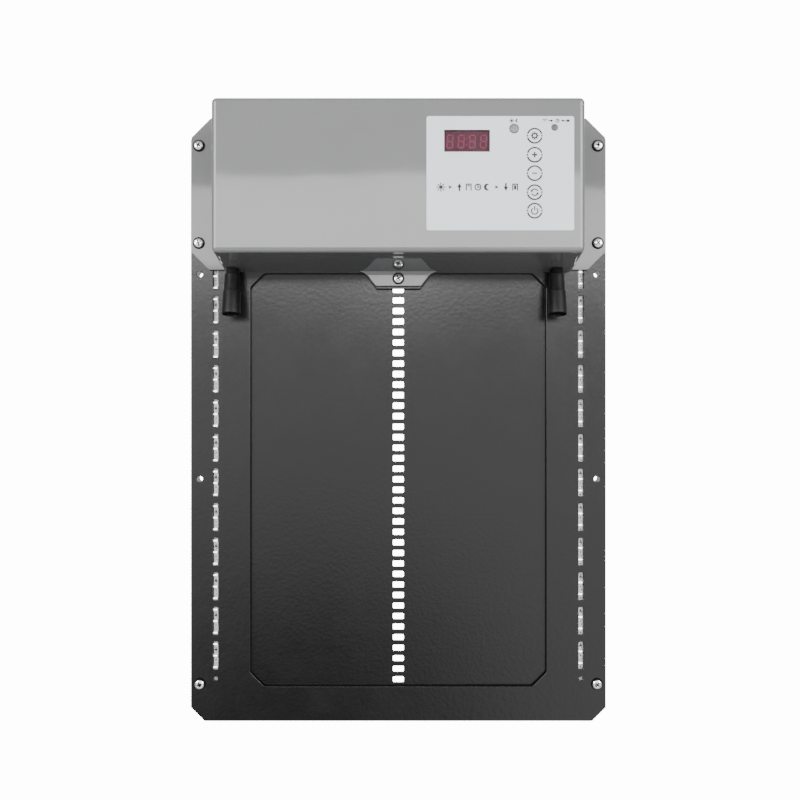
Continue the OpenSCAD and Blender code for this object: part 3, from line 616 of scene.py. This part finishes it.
def make_front_panel():
    """The coated sheet with its doorway, slots, screw and wall holes and the pinion's window."""
    holes = [doorway_outline()]
    for side in (-1, 1):
        for k in range(SLOT_COUNT):
            holes.append(rectangle(side * SLOT_X, FIRST_SLOT_Z + k * SLOT_PITCH, SLOT_W, SLOT_L, 1.2 * MM))
        for z in (*WALL_HOLE_Z, FRAME_SCREW_Z, *FLANGE_SCREW_Z):
            holes.append(circle(side * HOLE_X, z, HOLE_R))
        holes.append(circle(side * SLOT_X, STRIP_HOLE_Z, STRIP_HOLE_R, 32))
    holes.append(circle(0, TAB_SCREW_Z, 2.05 * MM))
    holes.append(rectangle(0, LADDER_Z0 + PINION_SLOT * LADDER_PITCH, *PINION_WINDOW, 2 * MM))
    mesh = plate_mesh(
        "panel_sheet", clipped(PANEL_LO, PANEL_HI, PANEL_CUT_LO, PANEL_CUT_HI, 1.5 * MM), holes,
        PANEL_LO.y, PANEL_HI.y, 0.3 * MM, 3,
    )
    add_piece("panel_sheet", mesh, "frame", PANEL_COAT, ("front_panel",))


def make_door():
    """The sliding sheet with its ladder of slots."""
    holes = [
        rectangle(0, LADDER_Z0 + k * LADDER_PITCH, LADDER_W, LADDER_H, 0.8 * MM, 4)
        for k in range(LADDER_COUNT)
    ]
    mesh = plate_mesh(
        "door_sheet", clipped(DOOR_LO, DOOR_HI, 3 * MM, 3 * MM, 0.8 * MM), holes,
        DOOR_LO.y, DOOR_HI.y, 0.25 * MM, 2,
    )
    add_piece("door_sheet", mesh, "door", DOOR_COAT, ("door_panel",))


# ---------------------------------------------------------------- housing

def box_loop(bm, y, half_w, z0, z1, radius, steps=8):
    """One rounded rectangle of vertices at a depth."""
    outline = rectangle(0, (z0 + z1) / 2, 2 * half_w, z1 - z0, radius, steps)
    return [bm.verts.new((x, y, z)) for x, z in outline]


def drafted_box(name, shrink, back_y, front_y, edge):
    """The housing's tapered body, less shrink all round, closed at both ends."""
    base_y = PANEL_LO.y
    depth = base_y - COVER_LO.y
    bm = bmesh.new()
    loops = []
    for y in (back_y, base_y - depth * 0.5, front_y + edge):
        taper = BOX_DRAFT * max(base_y - y, 0) / (depth - BOX_FRONT_R)
        inset = shrink + taper
        radius = BOX_CORNER_R - (BOX_CORNER_R - BOX_FRONT_R) * max(base_y - y, 0) / depth
        low_z = BOX_Z0 + inset - UNDER_DROP * (1 - taper / BOX_DRAFT)
        loops.append(box_loop(bm, y, BOX_HALF_W - inset, low_z, BOX_Z1 - inset, radius))
    last = BOX_DRAFT * (base_y - front_y - edge) / (depth - BOX_FRONT_R) + shrink
    arc_steps = 7
    for k in range(1, arc_steps + 1):
        angle = math.pi / 2 * k / arc_steps
        inset = last + edge * (1 - math.cos(angle))
        radius = max(BOX_FRONT_R - edge * (1 - math.cos(angle)), 0.35 * MM)
        y = front_y + edge * (1 - math.sin(angle))
        loops.append(box_loop(bm, y, BOX_HALF_W - inset, BOX_Z0 + inset, BOX_Z1 - inset, radius))
    for low, high in zip(loops, loops[1:]):
        for k in range(len(low)):
            n = (k + 1) % len(low)
            bm.faces.new((low[k], low[n], high[n], high[k]))
    bm.faces.new(loops[0])
    bm.faces.new(loops[-1])
    bmesh.ops.recalc_face_normals(bm, faces=bm.faces)
    mesh = bpy.data.meshes.new(name)
    bm.to_mesh(mesh)
    bm.free()
    return mesh


def tab_flare():
    """The tab's right edge: a turned corner, a straight slant and a hollow run out to the tip."""
    tab_z = COVER_LO.z
    corner = [(15.0, 0.0), (15.8, 0.1), (16.5, 0.45), (17.2, 1.1)]
    start, bend, tip = Vector((21.6, 6.9)), Vector((23.6, 9.4)), Vector((27.4, 10.3))
    steps = 10
    run = []
    for k in range(steps + 1):
        t = k / steps
        run.append(tuple(start * (1 - t) ** 2 + bend * 2 * t * (1 - t) + tip * t ** 2))
    return [(x * MM, tab_z + z * MM) for x, z in corner + run]


def flange_outline():
    """Side flanges, cut corners and the flared tab with its hollow curves."""
    half = -COVER_LO.x
    right = tab_flare() + [
        (28.4 * MM, BOX_Z0), (half - FLANGE_CUT_LO, BOX_Z0), (half, BOX_Z0 + FLANGE_CUT_LO),
        (half, BOX_Z1 - FLANGE_CUT_HI), (half - FLANGE_CUT_HI, BOX_Z1),
    ]
    return right + [(-x, z) for x, z in reversed(right)]


def make_cover():
    """The housing: a drafted box on its flange, hollow, with cable bosses and the keypad's openings."""
    front_y = COVER_LO.y
    back_y = PANEL_LO.y
    body = drafted_box("cover_body", 0, back_y, front_y, BOX_FRONT_R)
    flange = plate_mesh("cover_flange", flange_outline(), [], back_y - FLANGE_T, back_y, 0.3 * MM, 3)
    bosses = []
    for x in INLET_X:
        for radius, low, high in ((4.9, 1.6, 3.2), (5.8, 2.0, 5.4)):
            low_end = (x, INLET_Y, BOX_Z0 + low * MM)
            bosses.append(rod_mesh(low_end, (x, INLET_Y, BOX_Z0 + high * MM), radius * MM))
    cavity = drafted_box("cover_cavity", WALL_T, back_y + 1 * MM, front_y + WALL_T, 1 * MM)
    shell = boolean(boolean(body, [flange], "UNION"), [cavity])
    for boss in bosses:
        shell = boolean(shell, [boss], "UNION")
    cutters = []
    for side in (-1, 1):
        for z in FLANGE_SCREW_Z:
            x = side * HOLE_X
            cutters.append(rod_mesh((x, back_y - 5 * MM, z), (x, back_y + 1 * MM, z), HOLE_R))
    cutters.append(rod_mesh((0, back_y - 5 * MM, TAB_SCREW_Z), (0, back_y + 1 * MM, TAB_SCREW_Z), 2.05 * MM))
    for x in INLET_X:
        cutters.append(rod_mesh((x, INLET_Y, BOX_Z0 - 1 * MM), (x, INLET_Y, BOX_Z0 + 7 * MM), 4.05 * MM))
    round_openings = [(node, BUTTON_HOLE_R) for node in BUTTONS]
    round_openings += [("light_sensor", SENSOR_HOLE_R), ("status_lamp", LAMP_HOLE_R)]
    for node, radius in round_openings:
        x, z = middle_of(node)
        cutters.append(rod_mesh((x, front_y - 1 * MM, z), (x, front_y + 4 * MM, z), radius))
    lens_lo = LENS_LO - Vector((0.05, 1, 0.05)) * MM
    lens_hi = LENS_HI + Vector((0.05, 3, 0.05)) * MM
    cutters.append(box_mesh("lens_cut", lens_lo, lens_hi))
    shell = boolean(shell, cutters)
    soften(shell, math.radians(30))
    add_piece("housing_shell", shell, "frame", HOUSING, ("housing_cover",))


# ---------------------------------------------------------------- keypad

def label_point(x_mm, down_mm):
    """A point on the label from its top left corner."""
    return LABEL_LO.x + x_mm * MM, LABEL_HI.z - down_mm * MM


def stroke(start, end, width):
    """A straight bar of ink between two points, as an outline."""
    a, b = Vector(start), Vector(end)
    along = (b - a).normalized() * width / 2
    across = Vector((-along.y, along.x))
    corners = (a - along + across, a - along - across, b + along - across, b + along + across)
    return [tuple(corner) for corner in corners]


def arc_band(x, z, radius, width, start, end, steps=24):
    """Part of a ring as an outline; angles in degrees."""
    angles = [math.radians(start + (end - start) * k / steps) for k in range(steps + 1)]

    def rim(r):
        return [(x + r * math.cos(a), z + r * math.sin(a)) for a in angles]

    return rim(radius + width / 2) + rim(radius - width / 2)[::-1]


def triangle(x, z, size, turn):
    """A solid arrow head pointing to turn degrees."""
    return [
        (x + size * math.cos(math.radians(turn + a)), z + size * math.sin(math.radians(turn + a)))
        for a in (0, 125, 235)
    ]


def ink(name, shapes, y, body):
    """Printed shapes as a thin layer whose front is at y. A shape is an outline, or (outline, holes)."""
    meshes = []
    for shape in shapes:
        outline, holes = shape if isinstance(shape, tuple) else (shape, [])
        meshes.append(plate_mesh("ink", outline, holes, y, y + INK_T))
    add_piece(name, join_meshes(name, meshes), body, INK_DARK)


def sun(x, z, r):
    """A disc with eight rays."""
    rays = []
    for k in range(8):
        out = Vector((math.cos(math.pi / 4 * k), math.sin(math.pi / 4 * k)))
        middle = Vector((x, z))
        rays.append(stroke(middle + out * 0.76 * r, middle + out * 1.15 * r, 0.3 * r))
    return [circle(x, z, 0.54 * r, 24), *rays]


def moon(x, z, r):
    """A crescent open to the right."""
    steps = 20
    outer = [math.radians(60 + 240 * k / steps) for k in range(steps + 1)]
    points = [(x + r * math.cos(a), z + r * math.sin(a)) for a in outer]
    inner = [math.radians(280 - 200 * k / steps) for k in range(1, steps)]
    points += [(x + 0.5 * r + 0.72 * r * math.cos(a), z + 0.72 * r * math.sin(a)) for a in inner]
    return [points]


def clock(x, z, r):
    """A dial with two hands."""
    ring = (circle(x, z, r, 32), [circle(x, z, 0.66 * r, 28)])
    long_hand = stroke((x, z - 0.15 * r), (x, z + 0.5 * r), 0.3 * r)
    short_hand = stroke((x, z), (x + 0.42 * r, z), 0.3 * r)
    return [ring, long_hand, short_hand]


def leaf_door(x, z, r, share):
    """A door frame whose leaf covers a share of its opening from the top."""
    w, t = 0.84 * r, 0.34 * r
    band = [(x - w, z - r), (x - w, z + r), (x + w, z + r), (x + w, z - r), (x + w - t, z - r),
            (x + w - t, z + r - t), (x - w + t, z + r - t), (x - w + t, z - r)]
    leaf_h = (2 * r - 2 * t) * share
    leaf = rectangle(x, z + r - 1.35 * t - leaf_h / 2, 2 * (w - 1.5 * t), leaf_h)
    return [band, leaf]


def arrow(x, z, r, turn):
    """A bold arrow pointing to turn degrees."""
    out = Vector((math.cos(math.radians(turn)), math.sin(math.radians(turn))))
    middle = Vector((x, z))
    head = middle + out * 0.35 * r
    shaft = stroke(middle - out * 0.95 * r, middle + out * 0.15 * r, 0.46 * r)
    return [shaft, triangle(head.x, head.y, 0.8 * r, turn)]


def make_label():
    """The overlay sheet with its openings."""
    x, z = middle_of("display_window")
    holes = [rectangle(x, z, 30 * MM, 14.4 * MM)]
    holes += [circle(*middle_of(node), BUTTON_HOLE_R) for node in BUTTONS]
    holes.append(circle(*middle_of("light_sensor"), SENSOR_HOLE_R + LABEL_GAP))
    holes.append(circle(*middle_of("status_lamp"), LAMP_HOLE_R + LABEL_GAP))
    size = LABEL_HI - LABEL_LO
    outline = rectangle(*middle_of("keypad_label"), size.x, size.z, 1.5 * MM)
    mesh = plate_mesh("label_sheet", outline, holes, LABEL_FRONT, LABEL_HI.y, 0.06 * MM, 2)
    add_piece("label_sheet", mesh, "frame", FILM, ("keypad_label",))


def make_label_print():
    """Plain pictograms where a label would have words: day opens the door, night closes it."""
    front = LABEL_FRONT - INK_T
    r = 2.3 * MM
    places = [label_point(9.4 + 6.1 * k, 46.6) for k in range(9)]
    shapes = sun(*places[0], r) + arrow(*places[2], r, 90) + leaf_door(*places[3], r, 0.25)
    shapes += clock(*places[4], r)
    shapes += moon(*places[5], r) + arrow(*places[7], r, -90) + leaf_door(*places[8], r, 0.95)
    shapes += [triangle(*places[k], 0.62 * r, 0) for k in (1, 6)]
    ink("label_pictograms", shapes, front, "frame")
    x, z = label_point(57.6, 3.0)
    small = sun(x - 1.7 * MM, z, 1.35 * MM) + moon(x + 1.9 * MM, z, 1.2 * MM)
    x, z = label_point(84.1, 3.0)
    small += [arc_band(x - 6.4 * MM, z - 1.1 * MM, r * MM, 0.5 * MM, 45, 135, 10) for r in (1.0, 2.1)]
    small += arrow(x - 2.4 * MM, z, 1.4 * MM, 0) + clock(x + 1.9 * MM, z, 1.3 * MM)
    small += arrow(x + 5.6 * MM, z, 1.3 * MM, 180)
    small.append(rectangle(x + 8.8 * MM, z, 2.2 * MM, 1.5 * MM))
    ink("label_small_marks", small, front, "frame")


def button_marks(node, x, z):
    """The symbol printed on each cap."""
    if node == "button_plus":
        a, h = 1.8 * MM, 0.5 * MM
        corner = [
            (h, a), (h, h), (a, h), (a, -h), (h, -h), (h, -a),
            (-h, -a), (-h, -h), (-a, -h), (-a, h), (-h, h), (-h, a),
        ]
        return [[(x + p, z + q) for p, q in corner]]
    if node == "button_minus":
        return [stroke((x - 1.3 * MM, z), (x + 1.3 * MM, z), SIGN_W)]
    turn_r = 2.1 * MM
    if node == "button_cycle":
        heads = []
        for a in (160, 340):
            turn = math.radians(a)
            tip = (x + turn_r * math.cos(turn), z + turn_r * math.sin(turn))
            heads.append(triangle(*tip, 1.05 * MM, a + 90))
        return [arc_band(x, z, turn_r, SIGN_W, s, s + 130) for s in (25, 205)] + heads
    if node == "button_power":
        bar = stroke((x, z + 0.5 * MM), (x, z + 2.6 * MM), SIGN_W)
        return [arc_band(x, z - 0.2 * MM, turn_r, SIGN_W, 125, 415), bar]
    teeth = 8
    gear = []
    for k in range(teeth):
        for da, r in ((-14, 1.9), (-9, 2.6), (9, 2.6), (14, 1.9)):
            a = math.radians(360 * k / teeth + da)
            gear.append((x + r * MM * math.cos(a), z + r * MM * math.sin(a)))
    return [(gear, [circle(x, z, 1.0 * MM, 20)])]


def make_buttons():
    """Five round caps with a rim behind the label, a plunger and printed signs."""
    for node in BUTTONS:
        lo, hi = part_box(node)
        x, z = middle_of(node)
        front = lo.y + INK_T
        depth = hi.y - front
        profile = [
            (0, 0.03 * MM), (CAP_R * 0.6, 0.03 * MM), (CAP_R - 0.45 * MM, 0), (CAP_R - 0.12 * MM, 0.05 * MM),
            (CAP_R, 0.2 * MM), (CAP_R, depth - 0.75 * MM), (CAP_RIM_R, depth - 0.7 * MM),
            (CAP_RIM_R, depth - 0.25 * MM), (PLUNGER_R, depth - 0.2 * MM), (PLUNGER_R, depth), (0, depth),
        ]
        place = Matrix.Translation((x, front, z)) @ Matrix.Rotation(-math.pi / 2, 4, "X")
        cap = lathe_mesh(node + "_cap", profile, 64, place)
        body = node + "_body"
        add_piece(node + "_cap", cap, body, CAP_FILM, (node,))
        rings = [arc_band(x, z, RING_R, RING_W, s, s + 148, 32) for s in (16, 196)]
        rings += [arc_band(x, z, RING_R, RING_W, s, s + 12, 6) for s in (-6, 174)]
        ink(node + "_print", rings + button_marks(node, x, z), lo.y, body)


def segment_bar(x, z, length, width, upright):
    """One pointed bar of a digit."""
    a, w = length / 2, width / 2
    points = [(-a, 0), (-a + w, -w), (a - w, -w), (a, 0), (a - w, w), (-a + w, w)]
    return [(x + (q if upright else p), z + (p if upright else q)) for p, q in points]


def make_display():
    """A four digit module with raised segments behind a tinted window."""
    lo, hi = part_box("display_module")
    body_front = lo.y + 0.32 * MM
    block = box_mesh("display_block", (lo.x, body_front, lo.z), hi, 0.3 * MM, 3)
    soften(block)
    add_piece("display_block", block, "frame", DISPLAY_FACE, ("display_module",))
    width, height, bar_w = 4.6 * MM, 9.2 * MM, 0.92 * MM
    pitch = 7.35 * MM
    slant = 0.07
    gap = 0.10 * MM
    middle_x, middle = middle_of("display_module")
    digit_x = [middle_x + (k - 1.5) * pitch for k in range(4)]
    shapes = []
    for x in digit_x:
        for z in (-height / 2 + bar_w / 2, 0, height / 2 - bar_w / 2):
            shapes.append(segment_bar(x + slant * z, middle + z, width - bar_w - 2 * gap, bar_w, False))
        for sx in (-1, 1):
            for z in (-height / 4 + bar_w / 4, height / 4 - bar_w / 4):
                bar_x = x + slant * z + sx * (width - bar_w) / 2
                shapes.append(segment_bar(bar_x, middle + z, height / 2 - bar_w / 2 - 2 * gap, bar_w, True))
    colon_x = (digit_x[1] + digit_x[2]) / 2
    shapes += [circle(colon_x + slant * z, middle + z, 0.5 * MM, 16) for z in (-2 * MM, 2 * MM)]
    meshes = [plate_mesh("segment", s, [], body_front - 0.12 * MM, body_front + 0.05 * MM) for s in shapes]
    segments = join_meshes("display_segments", meshes)
    add_piece("display_segments", segments, "frame", SEGMENT_RED)
    lens = box_mesh("display_lens", LENS_LO, LENS_HI, 0.12 * MM, 2)
    soften(lens)
    add_piece("display_lens", lens, "frame", LENS, ("display_window",))


def make_indicators():
    """The light sensor and the status lamp: frosted lenses in a darker rim."""
    for node, radius, stem, material, slot in (
        ("light_sensor", 3.15 * MM, 3.1 * MM, SENSOR, "sensor_lens"),
        ("status_lamp", 2.15 * MM, 2.1 * MM, LAMP_LENS, "lamp_lens"),
    ):
        lo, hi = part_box(node)
        depth = hi.y - lo.y
        face_r = radius * 0.80
        profile = [
            (0, 0.0), (face_r * 0.6, 0.02 * MM), (face_r, 0.1 * MM), (face_r + 0.1 * MM, 0.16 * MM),
            (radius - 0.1 * MM, 0.12 * MM), (radius, 0.25 * MM), (radius, 0.5 * MM), (stem, 0.55 * MM),
            (stem, depth), (0, depth),
        ]
        middle = Vector(middle_of(node))
        place = Matrix.Translation((middle.x, lo.y, middle.y))
        mesh = lathe_mesh(node + "_lens", profile, 56, place @ Matrix.Rotation(-math.pi / 2, 4, "X"))
        for polygon in mesh.polygons:
            off = Vector((polygon.center.x, polygon.center.z)) - middle
            polygon.material_index = int(off.length > face_r - 0.05 * MM)
        add_piece(node + "_lens", mesh, "frame", (material, SENSOR_RIM), (node,))


# ---------------------------------------------------------------- screws and boots

def pan_screw_mesh(x, y, z, length, turn):
    """A domed screw with a cross recess; its head bears on y and its shank runs to y + length."""
    shank_r = 2.0 * MM
    tip, rim_h, steps = 0.4 * MM, 0.5 * MM, 14

    def crown(share):
        """Height of the head's top at a share of its radius."""
        return HEAD_H - (HEAD_H - rim_h) * share ** 4.2

    shares = [math.cos(math.pi / 2 * k / steps) for k in range(1, steps)]
    dome = [(HEAD_R * share, crown(share)) for share in shares]
    profile = [
        (0, -length), (shank_r - tip, -length), (shank_r, -length + tip), (shank_r, 0),
        (HEAD_R * 0.96, 0), (HEAD_R, 0.2 * MM), (HEAD_R, rim_h), *dome, (0, HEAD_H),
    ]
    place = Matrix.Translation((x, y, z)) @ Matrix.Rotation(math.pi / 2, 4, "X")
    screw = lathe_mesh("screw", profile, 48, place)
    cutters = []
    for angle in (turn, turn + math.pi / 2):
        blade_corner = Vector((2.4 * MM, 0.55 * MM, 1 * MM))
        blade = box_mesh("blade", (-blade_corner.x, -blade_corner.y, -1.8 * MM), blade_corner)
        for vertex in blade.vertices:
            if vertex.co.z < 0:
                vertex.co.x *= 0.45
                vertex.co.y *= 0.7
        blade.transform(place @ Matrix.Translation((0, 0, HEAD_H)) @ Matrix.Rotation(angle, 4, "Z"))
        cutters.append(blade)
    screw = boolean(screw, cutters)
    soften(screw, math.radians(30), flats=False)
    # Faces in the cross recess and on the head's outer rim ring take the second material, which is painted
    # shade.
    for polygon in screw.polygons:
        off = Vector((polygon.center.x - x, polygon.center.z - z)).length
        sunk = off < 3 * MM and y - crown(off / HEAD_R) + 0.14 * MM < polygon.center.y < y
        polygon.material_index = int(sunk or (off > 3.3 * MM and polygon.center.y < y))
    return screw


def make_screws():
    """Four flange screws, two frame screws and the tab's screw, each turned its own way."""
    flange_y = PANEL_LO.y - FLANGE_T
    depth = -PANEL_LO.y
    turns = iter((0.3, 1.1, 0.7, 1.4, 0.2, 0.9, 0.5))
    flange = [
        pan_screw_mesh(side * HOLE_X, flange_y, z, depth + FLANGE_T - 0.3 * MM, next(turns))
        for side in (-1, 1) for z in FLANGE_SCREW_Z
    ]
    low = [
        pan_screw_mesh(side * HOLE_X, PANEL_LO.y, FRAME_SCREW_Z, depth - 0.3 * MM, next(turns))
        for side in (-1, 1)
    ]
    tab = pan_screw_mesh(0, flange_y, TAB_SCREW_Z, 5.6 * MM, next(turns))
    for name, meshes, node in (
        ("flange_pan_screws", flange, "flange_screws"), ("frame_pan_screws", low, "frame_screws"),
        ("tab_pan_screw", [tab], "tab_screw"),
    ):
        add_piece(name, join_meshes(name, meshes), "frame", (SCREW, SCREW_PAINTED_SHADE), (node,))


def make_boots():
    """Rubber hoods: a neck under the housing, a domed shoulder, a stepped sleeve and an open mouth."""
    outside = [
        (2.6, 0.1), (3.2, 0.1), (4.1, -0.2), (4.6, -0.8), (4.85, -2.0), (4.9, -4.4), (5.15, -4.9),
        (5.35, -5.2), (5.42, -5.8), (5.7, -16.9), (5.8, -17.3), (6.1, -17.6), (6.2, -18.2),
        (6.52, -31.4), (6.6, -32.4), (6.55, -33.4), (6.42, -33.9), (6.25, -34.15),
    ]
    inside = [
        (5.85, -34.15), (5.65, -33.8), (5.6, -33.2), (5.6, -18.6), (5.2, -18.1), (2.6, -18.1), (2.6, 0.1),
    ]
    profile = [(r * MM, h * MM) for r, h in outside + inside]
    for node, x in zip(("left_cable_boot", "right_cable_boot"), INLET_X):
        place = Matrix.Translation((x, INLET_Y, BOX_Z0)) @ Matrix.Rotation(-BOOT_TILT, 4, "X")
        mesh = lathe_mesh(node + "_rubber", profile, 64, place)
        add_piece(node + "_rubber", mesh, "frame", RUBBER, (node,))


# ---------------------------------------------------------------- light strips

def make_light_strips():
    """Cut lamp strip behind the slots: white sheet, lamp chips with milky windows that carry a painted
    highlight, solder and vias.
    """
    lamp_h = 1.5 * MM
    pitch = SLOT_PITCH / LAMPS_PER_SLOT
    for side in ("left", "right"):
        strip_lo, strip_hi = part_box(side + "_light_strip")
        lamps_lo, lamps_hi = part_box(side + "_strip_lamps")
        tail = Vector((0, 0, 6 * MM))
        base = box_mesh("strip", strip_lo - tail, strip_hi, 0.05 * MM, 1)
        add_piece(side + "_strip_sheet", base, "frame", STRIP_WHITE, (side + "_light_strip",))
        bodies, windows, dots = [], [], []
        middle = (lamps_lo.x + lamps_hi.x) / 2
        strip_x = (strip_lo.x + strip_hi.x) / 2
        for k in range(SLOT_COUNT * LAMPS_PER_SLOT):
            z0 = lamps_lo.z + k * pitch
            lo, hi = (lamps_lo.x, lamps_lo.y, z0), (lamps_hi.x, lamps_hi.y, z0 + lamp_h)
            bodies.append(box_mesh("lamp", lo, hi, 0.22 * MM, 3))
            window = rectangle(middle, z0 + lamp_h / 2, 2.5 * MM, 1.05 * MM, 0.4 * MM, 5)
            windows.append(plate_mesh("window", window, [], lamps_lo.y - 0.02 * MM, lamps_lo.y + 0.1 * MM))
            for dx, dz, r in ((0, -2.3 * MM, 0.45 * MM), (0.6 * MM, 2.1 * MM + lamp_h, 0.36 * MM)):
                dot = circle(strip_x + dx, z0 + dz, r, 14)
                dots.append(plate_mesh("dot", dot, [], strip_lo.y - 0.03 * MM, strip_lo.y + 0.02 * MM))
        for part, meshes, material, slot, nodes in (
            ("_lamp_bodies", bodies, LAMP_BODY, "lamp_chip", (side + "_strip_lamps",)),
            ("_lamp_windows", windows, PHOSPHOR_PAINTED_HIGHLIGHT, "lamp_chip", ()),
            ("_solder_dots", dots, CHIP_BLACK, "strip_white", ()),
        ):
            add_piece(side + part, join_meshes(side + part, meshes), "frame", material, nodes)
    dress("strip_resistors", CHIP_BLACK, 0.08 * MM)


# ---------------------------------------------------------------- nodes kept from the CAD

# node: (material, width of its broken edges in mm)
KEPT = {
    "left_side_frame": (FRAME_COAT, 0), "right_side_frame": (FRAME_COAT, 0),
    "left_door_guide": (GUIDE_NYLON, 0.2), "right_door_guide": (GUIDE_NYLON, 0.2),
    "frame_nuts": (SCREW, 0.15), "rear_bridge": (FRAME_COAT, 0.25), "bridge_screws": (SCREW, 0.08),
    "backing_pads": (PAD_NYLON, 0.5), "door_pinion": (PAD_NYLON, 0.15), "output_shaft": (SHAFT, 0.3),
    "output_gear": (GEAR_ACETAL, 0.05), "cluster_axle": (SHAFT, 0.15), "worm_wheel": (GEAR_ACETAL, 0.05),
    "worm": (BRASS, 0), "motor_can": (CAN_STEEL, 0.2), "motor_terminals": (BRASS, 0.1),
    "gearbox_case": (CASE_BLACK, 0.4), "gearbox_lid": (CASE_BLACK, 0.4), "gearbox_screws": (SCREW, 0.15),
    "motor_bracket": (ZINC, 0.3), "bracket_screws": (SCREW, 0.15), "control_board": (BOARD, 0.1),
    "board_screws": (SCREW, 0.12), "tact_switches": (CHIP_BLACK, 0.2), "board_parts": (CHIP_BLACK, 0.25),
    "battery_holder": (CASE_BLACK, 0.3), "holder_screws": (SCREW, 0.15), "battery_cells": (CELL_WRAP, 0.4),
    "left_socket": (CASE_BLACK, 0.2), "right_socket": (CASE_BLACK, 0.2), "socket_nuts": (SCREW, 0.2),
}

FLAT_SIDED = {
    "left_side_frame", "right_side_frame", "left_door_guide", "right_door_guide", "rear_bridge",
    "frame_nuts", "motor_bracket", "control_board", "tact_switches", "board_parts", "motor_terminals",
    "gearbox_lid",
}


# ---------------------------------------------------------------- camera, light, floor

def make_camera():
    """Square on, a little above the doorway's middle, at close catalogue distance."""
    data = bpy.data.cameras.new("camera")
    data.sensor_width = SENSOR_WIDTH
    data.lens = CAMERA_LENS
    data.clip_start = 0.05
    camera = bpy.data.objects.new("camera", data)
    camera.location = CAMERA_PLACE
    camera.rotation_euler = (math.pi / 2, 0, 0)
    bpy.context.scene.collection.objects.link(camera)
    bpy.context.scene.camera = camera


def make_world():
    """A soft studio room: white to look at, and it lights the object from a pale room with a dark patch."""
    world = bpy.data.worlds.new("studio")
    bpy.context.scene.world = world
    world.use_nodes = True
    tree = world.node_tree
    background = tree.nodes["Background"]
    direction = tree.nodes.new("ShaderNodeTexCoord").outputs["Generated"]
    split = tree.nodes.new("ShaderNodeSeparateXYZ")
    tree.links.new(direction, split.inputs["Vector"])

    def span(source, from_low, from_high, low, high):
        node = tree.nodes.new("ShaderNodeMapRange")
        node.interpolation_type = "SMOOTHSTEP"
        values = (from_low, from_high, low, high)
        for key, value in zip(("From Min", "From Max", "To Min", "To Max"), values):
            node.inputs[key].default_value = value
        tree.links.new(source, node.inputs["Value"])
        return node.outputs["Result"]

    def combine(operation, first, second):
        node = tree.nodes.new("ShaderNodeMath")
        node.operation = operation
        for socket, value in zip(node.inputs, (first, second)):
            if isinstance(value, float):
                socket.default_value = value
            else:
                tree.links.new(value, socket)
        return node.outputs["Value"]

    away = tree.nodes.new("ShaderNodeVectorMath")
    away.operation = "DISTANCE"
    away.inputs[1].default_value = DARK_PATCH
    tree.links.new(direction, away.inputs[0])
    patch = span(away.outputs["Value"], 0.07, 0.31, 0.03, 1.0)
    height = split.outputs["Z"]
    ceiling = span(height, 0.15, 0.32, ROOM_LEVEL, CEILING_LEVEL)
    ground = span(height, -0.70, -0.35, GROUND_LEVEL, 1.0)
    flank = span(split.outputs["Y"], -0.86, -0.50, 1.0, FLANK_SHARE)
    room = combine("MULTIPLY", combine("MULTIPLY", ceiling, ground), combine("MULTIPLY", patch, flank))
    room = combine("MAXIMUM", room, span(split.outputs["Y"], 0.80, 0.86, 0.0, BACKDROP_GLOW))
    seen = tree.nodes.new("ShaderNodeLightPath").outputs["Is Camera Ray"]
    level = combine("MAXIMUM", room, combine("MULTIPLY", seen, BACKDROP_WHITE))
    tree.links.new(level, background.inputs["Strength"])
    background.inputs["Color"].default_value = (1, 1, 1, 1)


def add_area(name, place, width, height, radiance, aim=None):
    """A soft rectangular light of a given brightness that the camera doesn't see."""
    data = bpy.data.lights.new(name, "AREA")
    data.shape = "RECTANGLE"
    data.size = width
    data.size_y = height
    data.energy = radiance * math.pi * width * height
    lamp = bpy.data.objects.new(name, data)
    lamp.location = place
    target = Vector(aim) if aim else Vector((place[0], 0, place[2]))
    lamp.rotation_euler = (target - Vector(place)).to_track_quat("-Z", "Y").to_euler()
    lamp.visible_camera = False
    bpy.context.scene.collection.objects.link(lamp)


def make_lights():
    """A low wide window light in front and a soft box to each side."""
    add_area("window", (0, WINDOW_Y, 0.438), 1.5, 0.176, WINDOW_LEVEL)
    add_area("window_sill", (0, WINDOW_Y, 0.321), 0.16, 0.058, WINDOW_LEVEL)
    for side in (-1, 1):
        add_area("side_box", (side * 1.1, -1.2, 0.5), 0.95, 0.95, SIDE_LEVEL, (0, 0, 0.05))


def make_floor():
    """A pale floor well under the door, which hangs on a wall in use."""
    material, tree, shader = new_material("floor_pale")
    paint(tree, shader, noise(tree, 0.4, 2.0), grey(0.86), grey(0.88))
    roughen(tree, shader, noise(tree, 0.1, 2.0), 0.65, 0.75)
    shader.inputs["Emission Color"].default_value = (1, 1, 1, 1)
    shader.inputs["Emission Strength"].default_value = 4.0
    place = Matrix.Translation((0, 0, FLOOR_Z))
    profile = [(0, -0.02), (2.18, -0.02), (2.2, -0.01), (2.18, 0), (0, 0)]
    mesh = lathe_mesh("floor", profile, 128, place)
    mesh.materials.append(material)
    floor = bpy.data.objects.new("floor", mesh)
    floor.visible_diffuse = False
    floor.visible_glossy = False
    bpy.context.scene.collection.objects.link(floor)


# ---------------------------------------------------------------- build

make_camera()
make_world()
make_lights()
make_floor()
make_front_panel()
make_door()
make_cover()
make_label()
make_label_print()
make_buttons()
make_display()
make_indicators()
make_screws()
make_boots()
make_light_strips()
for node_name, (node_material, edge_mm) in KEPT.items():
    dress(node_name, node_material, edge_mm * MM, node_name not in FLAT_SIDED)
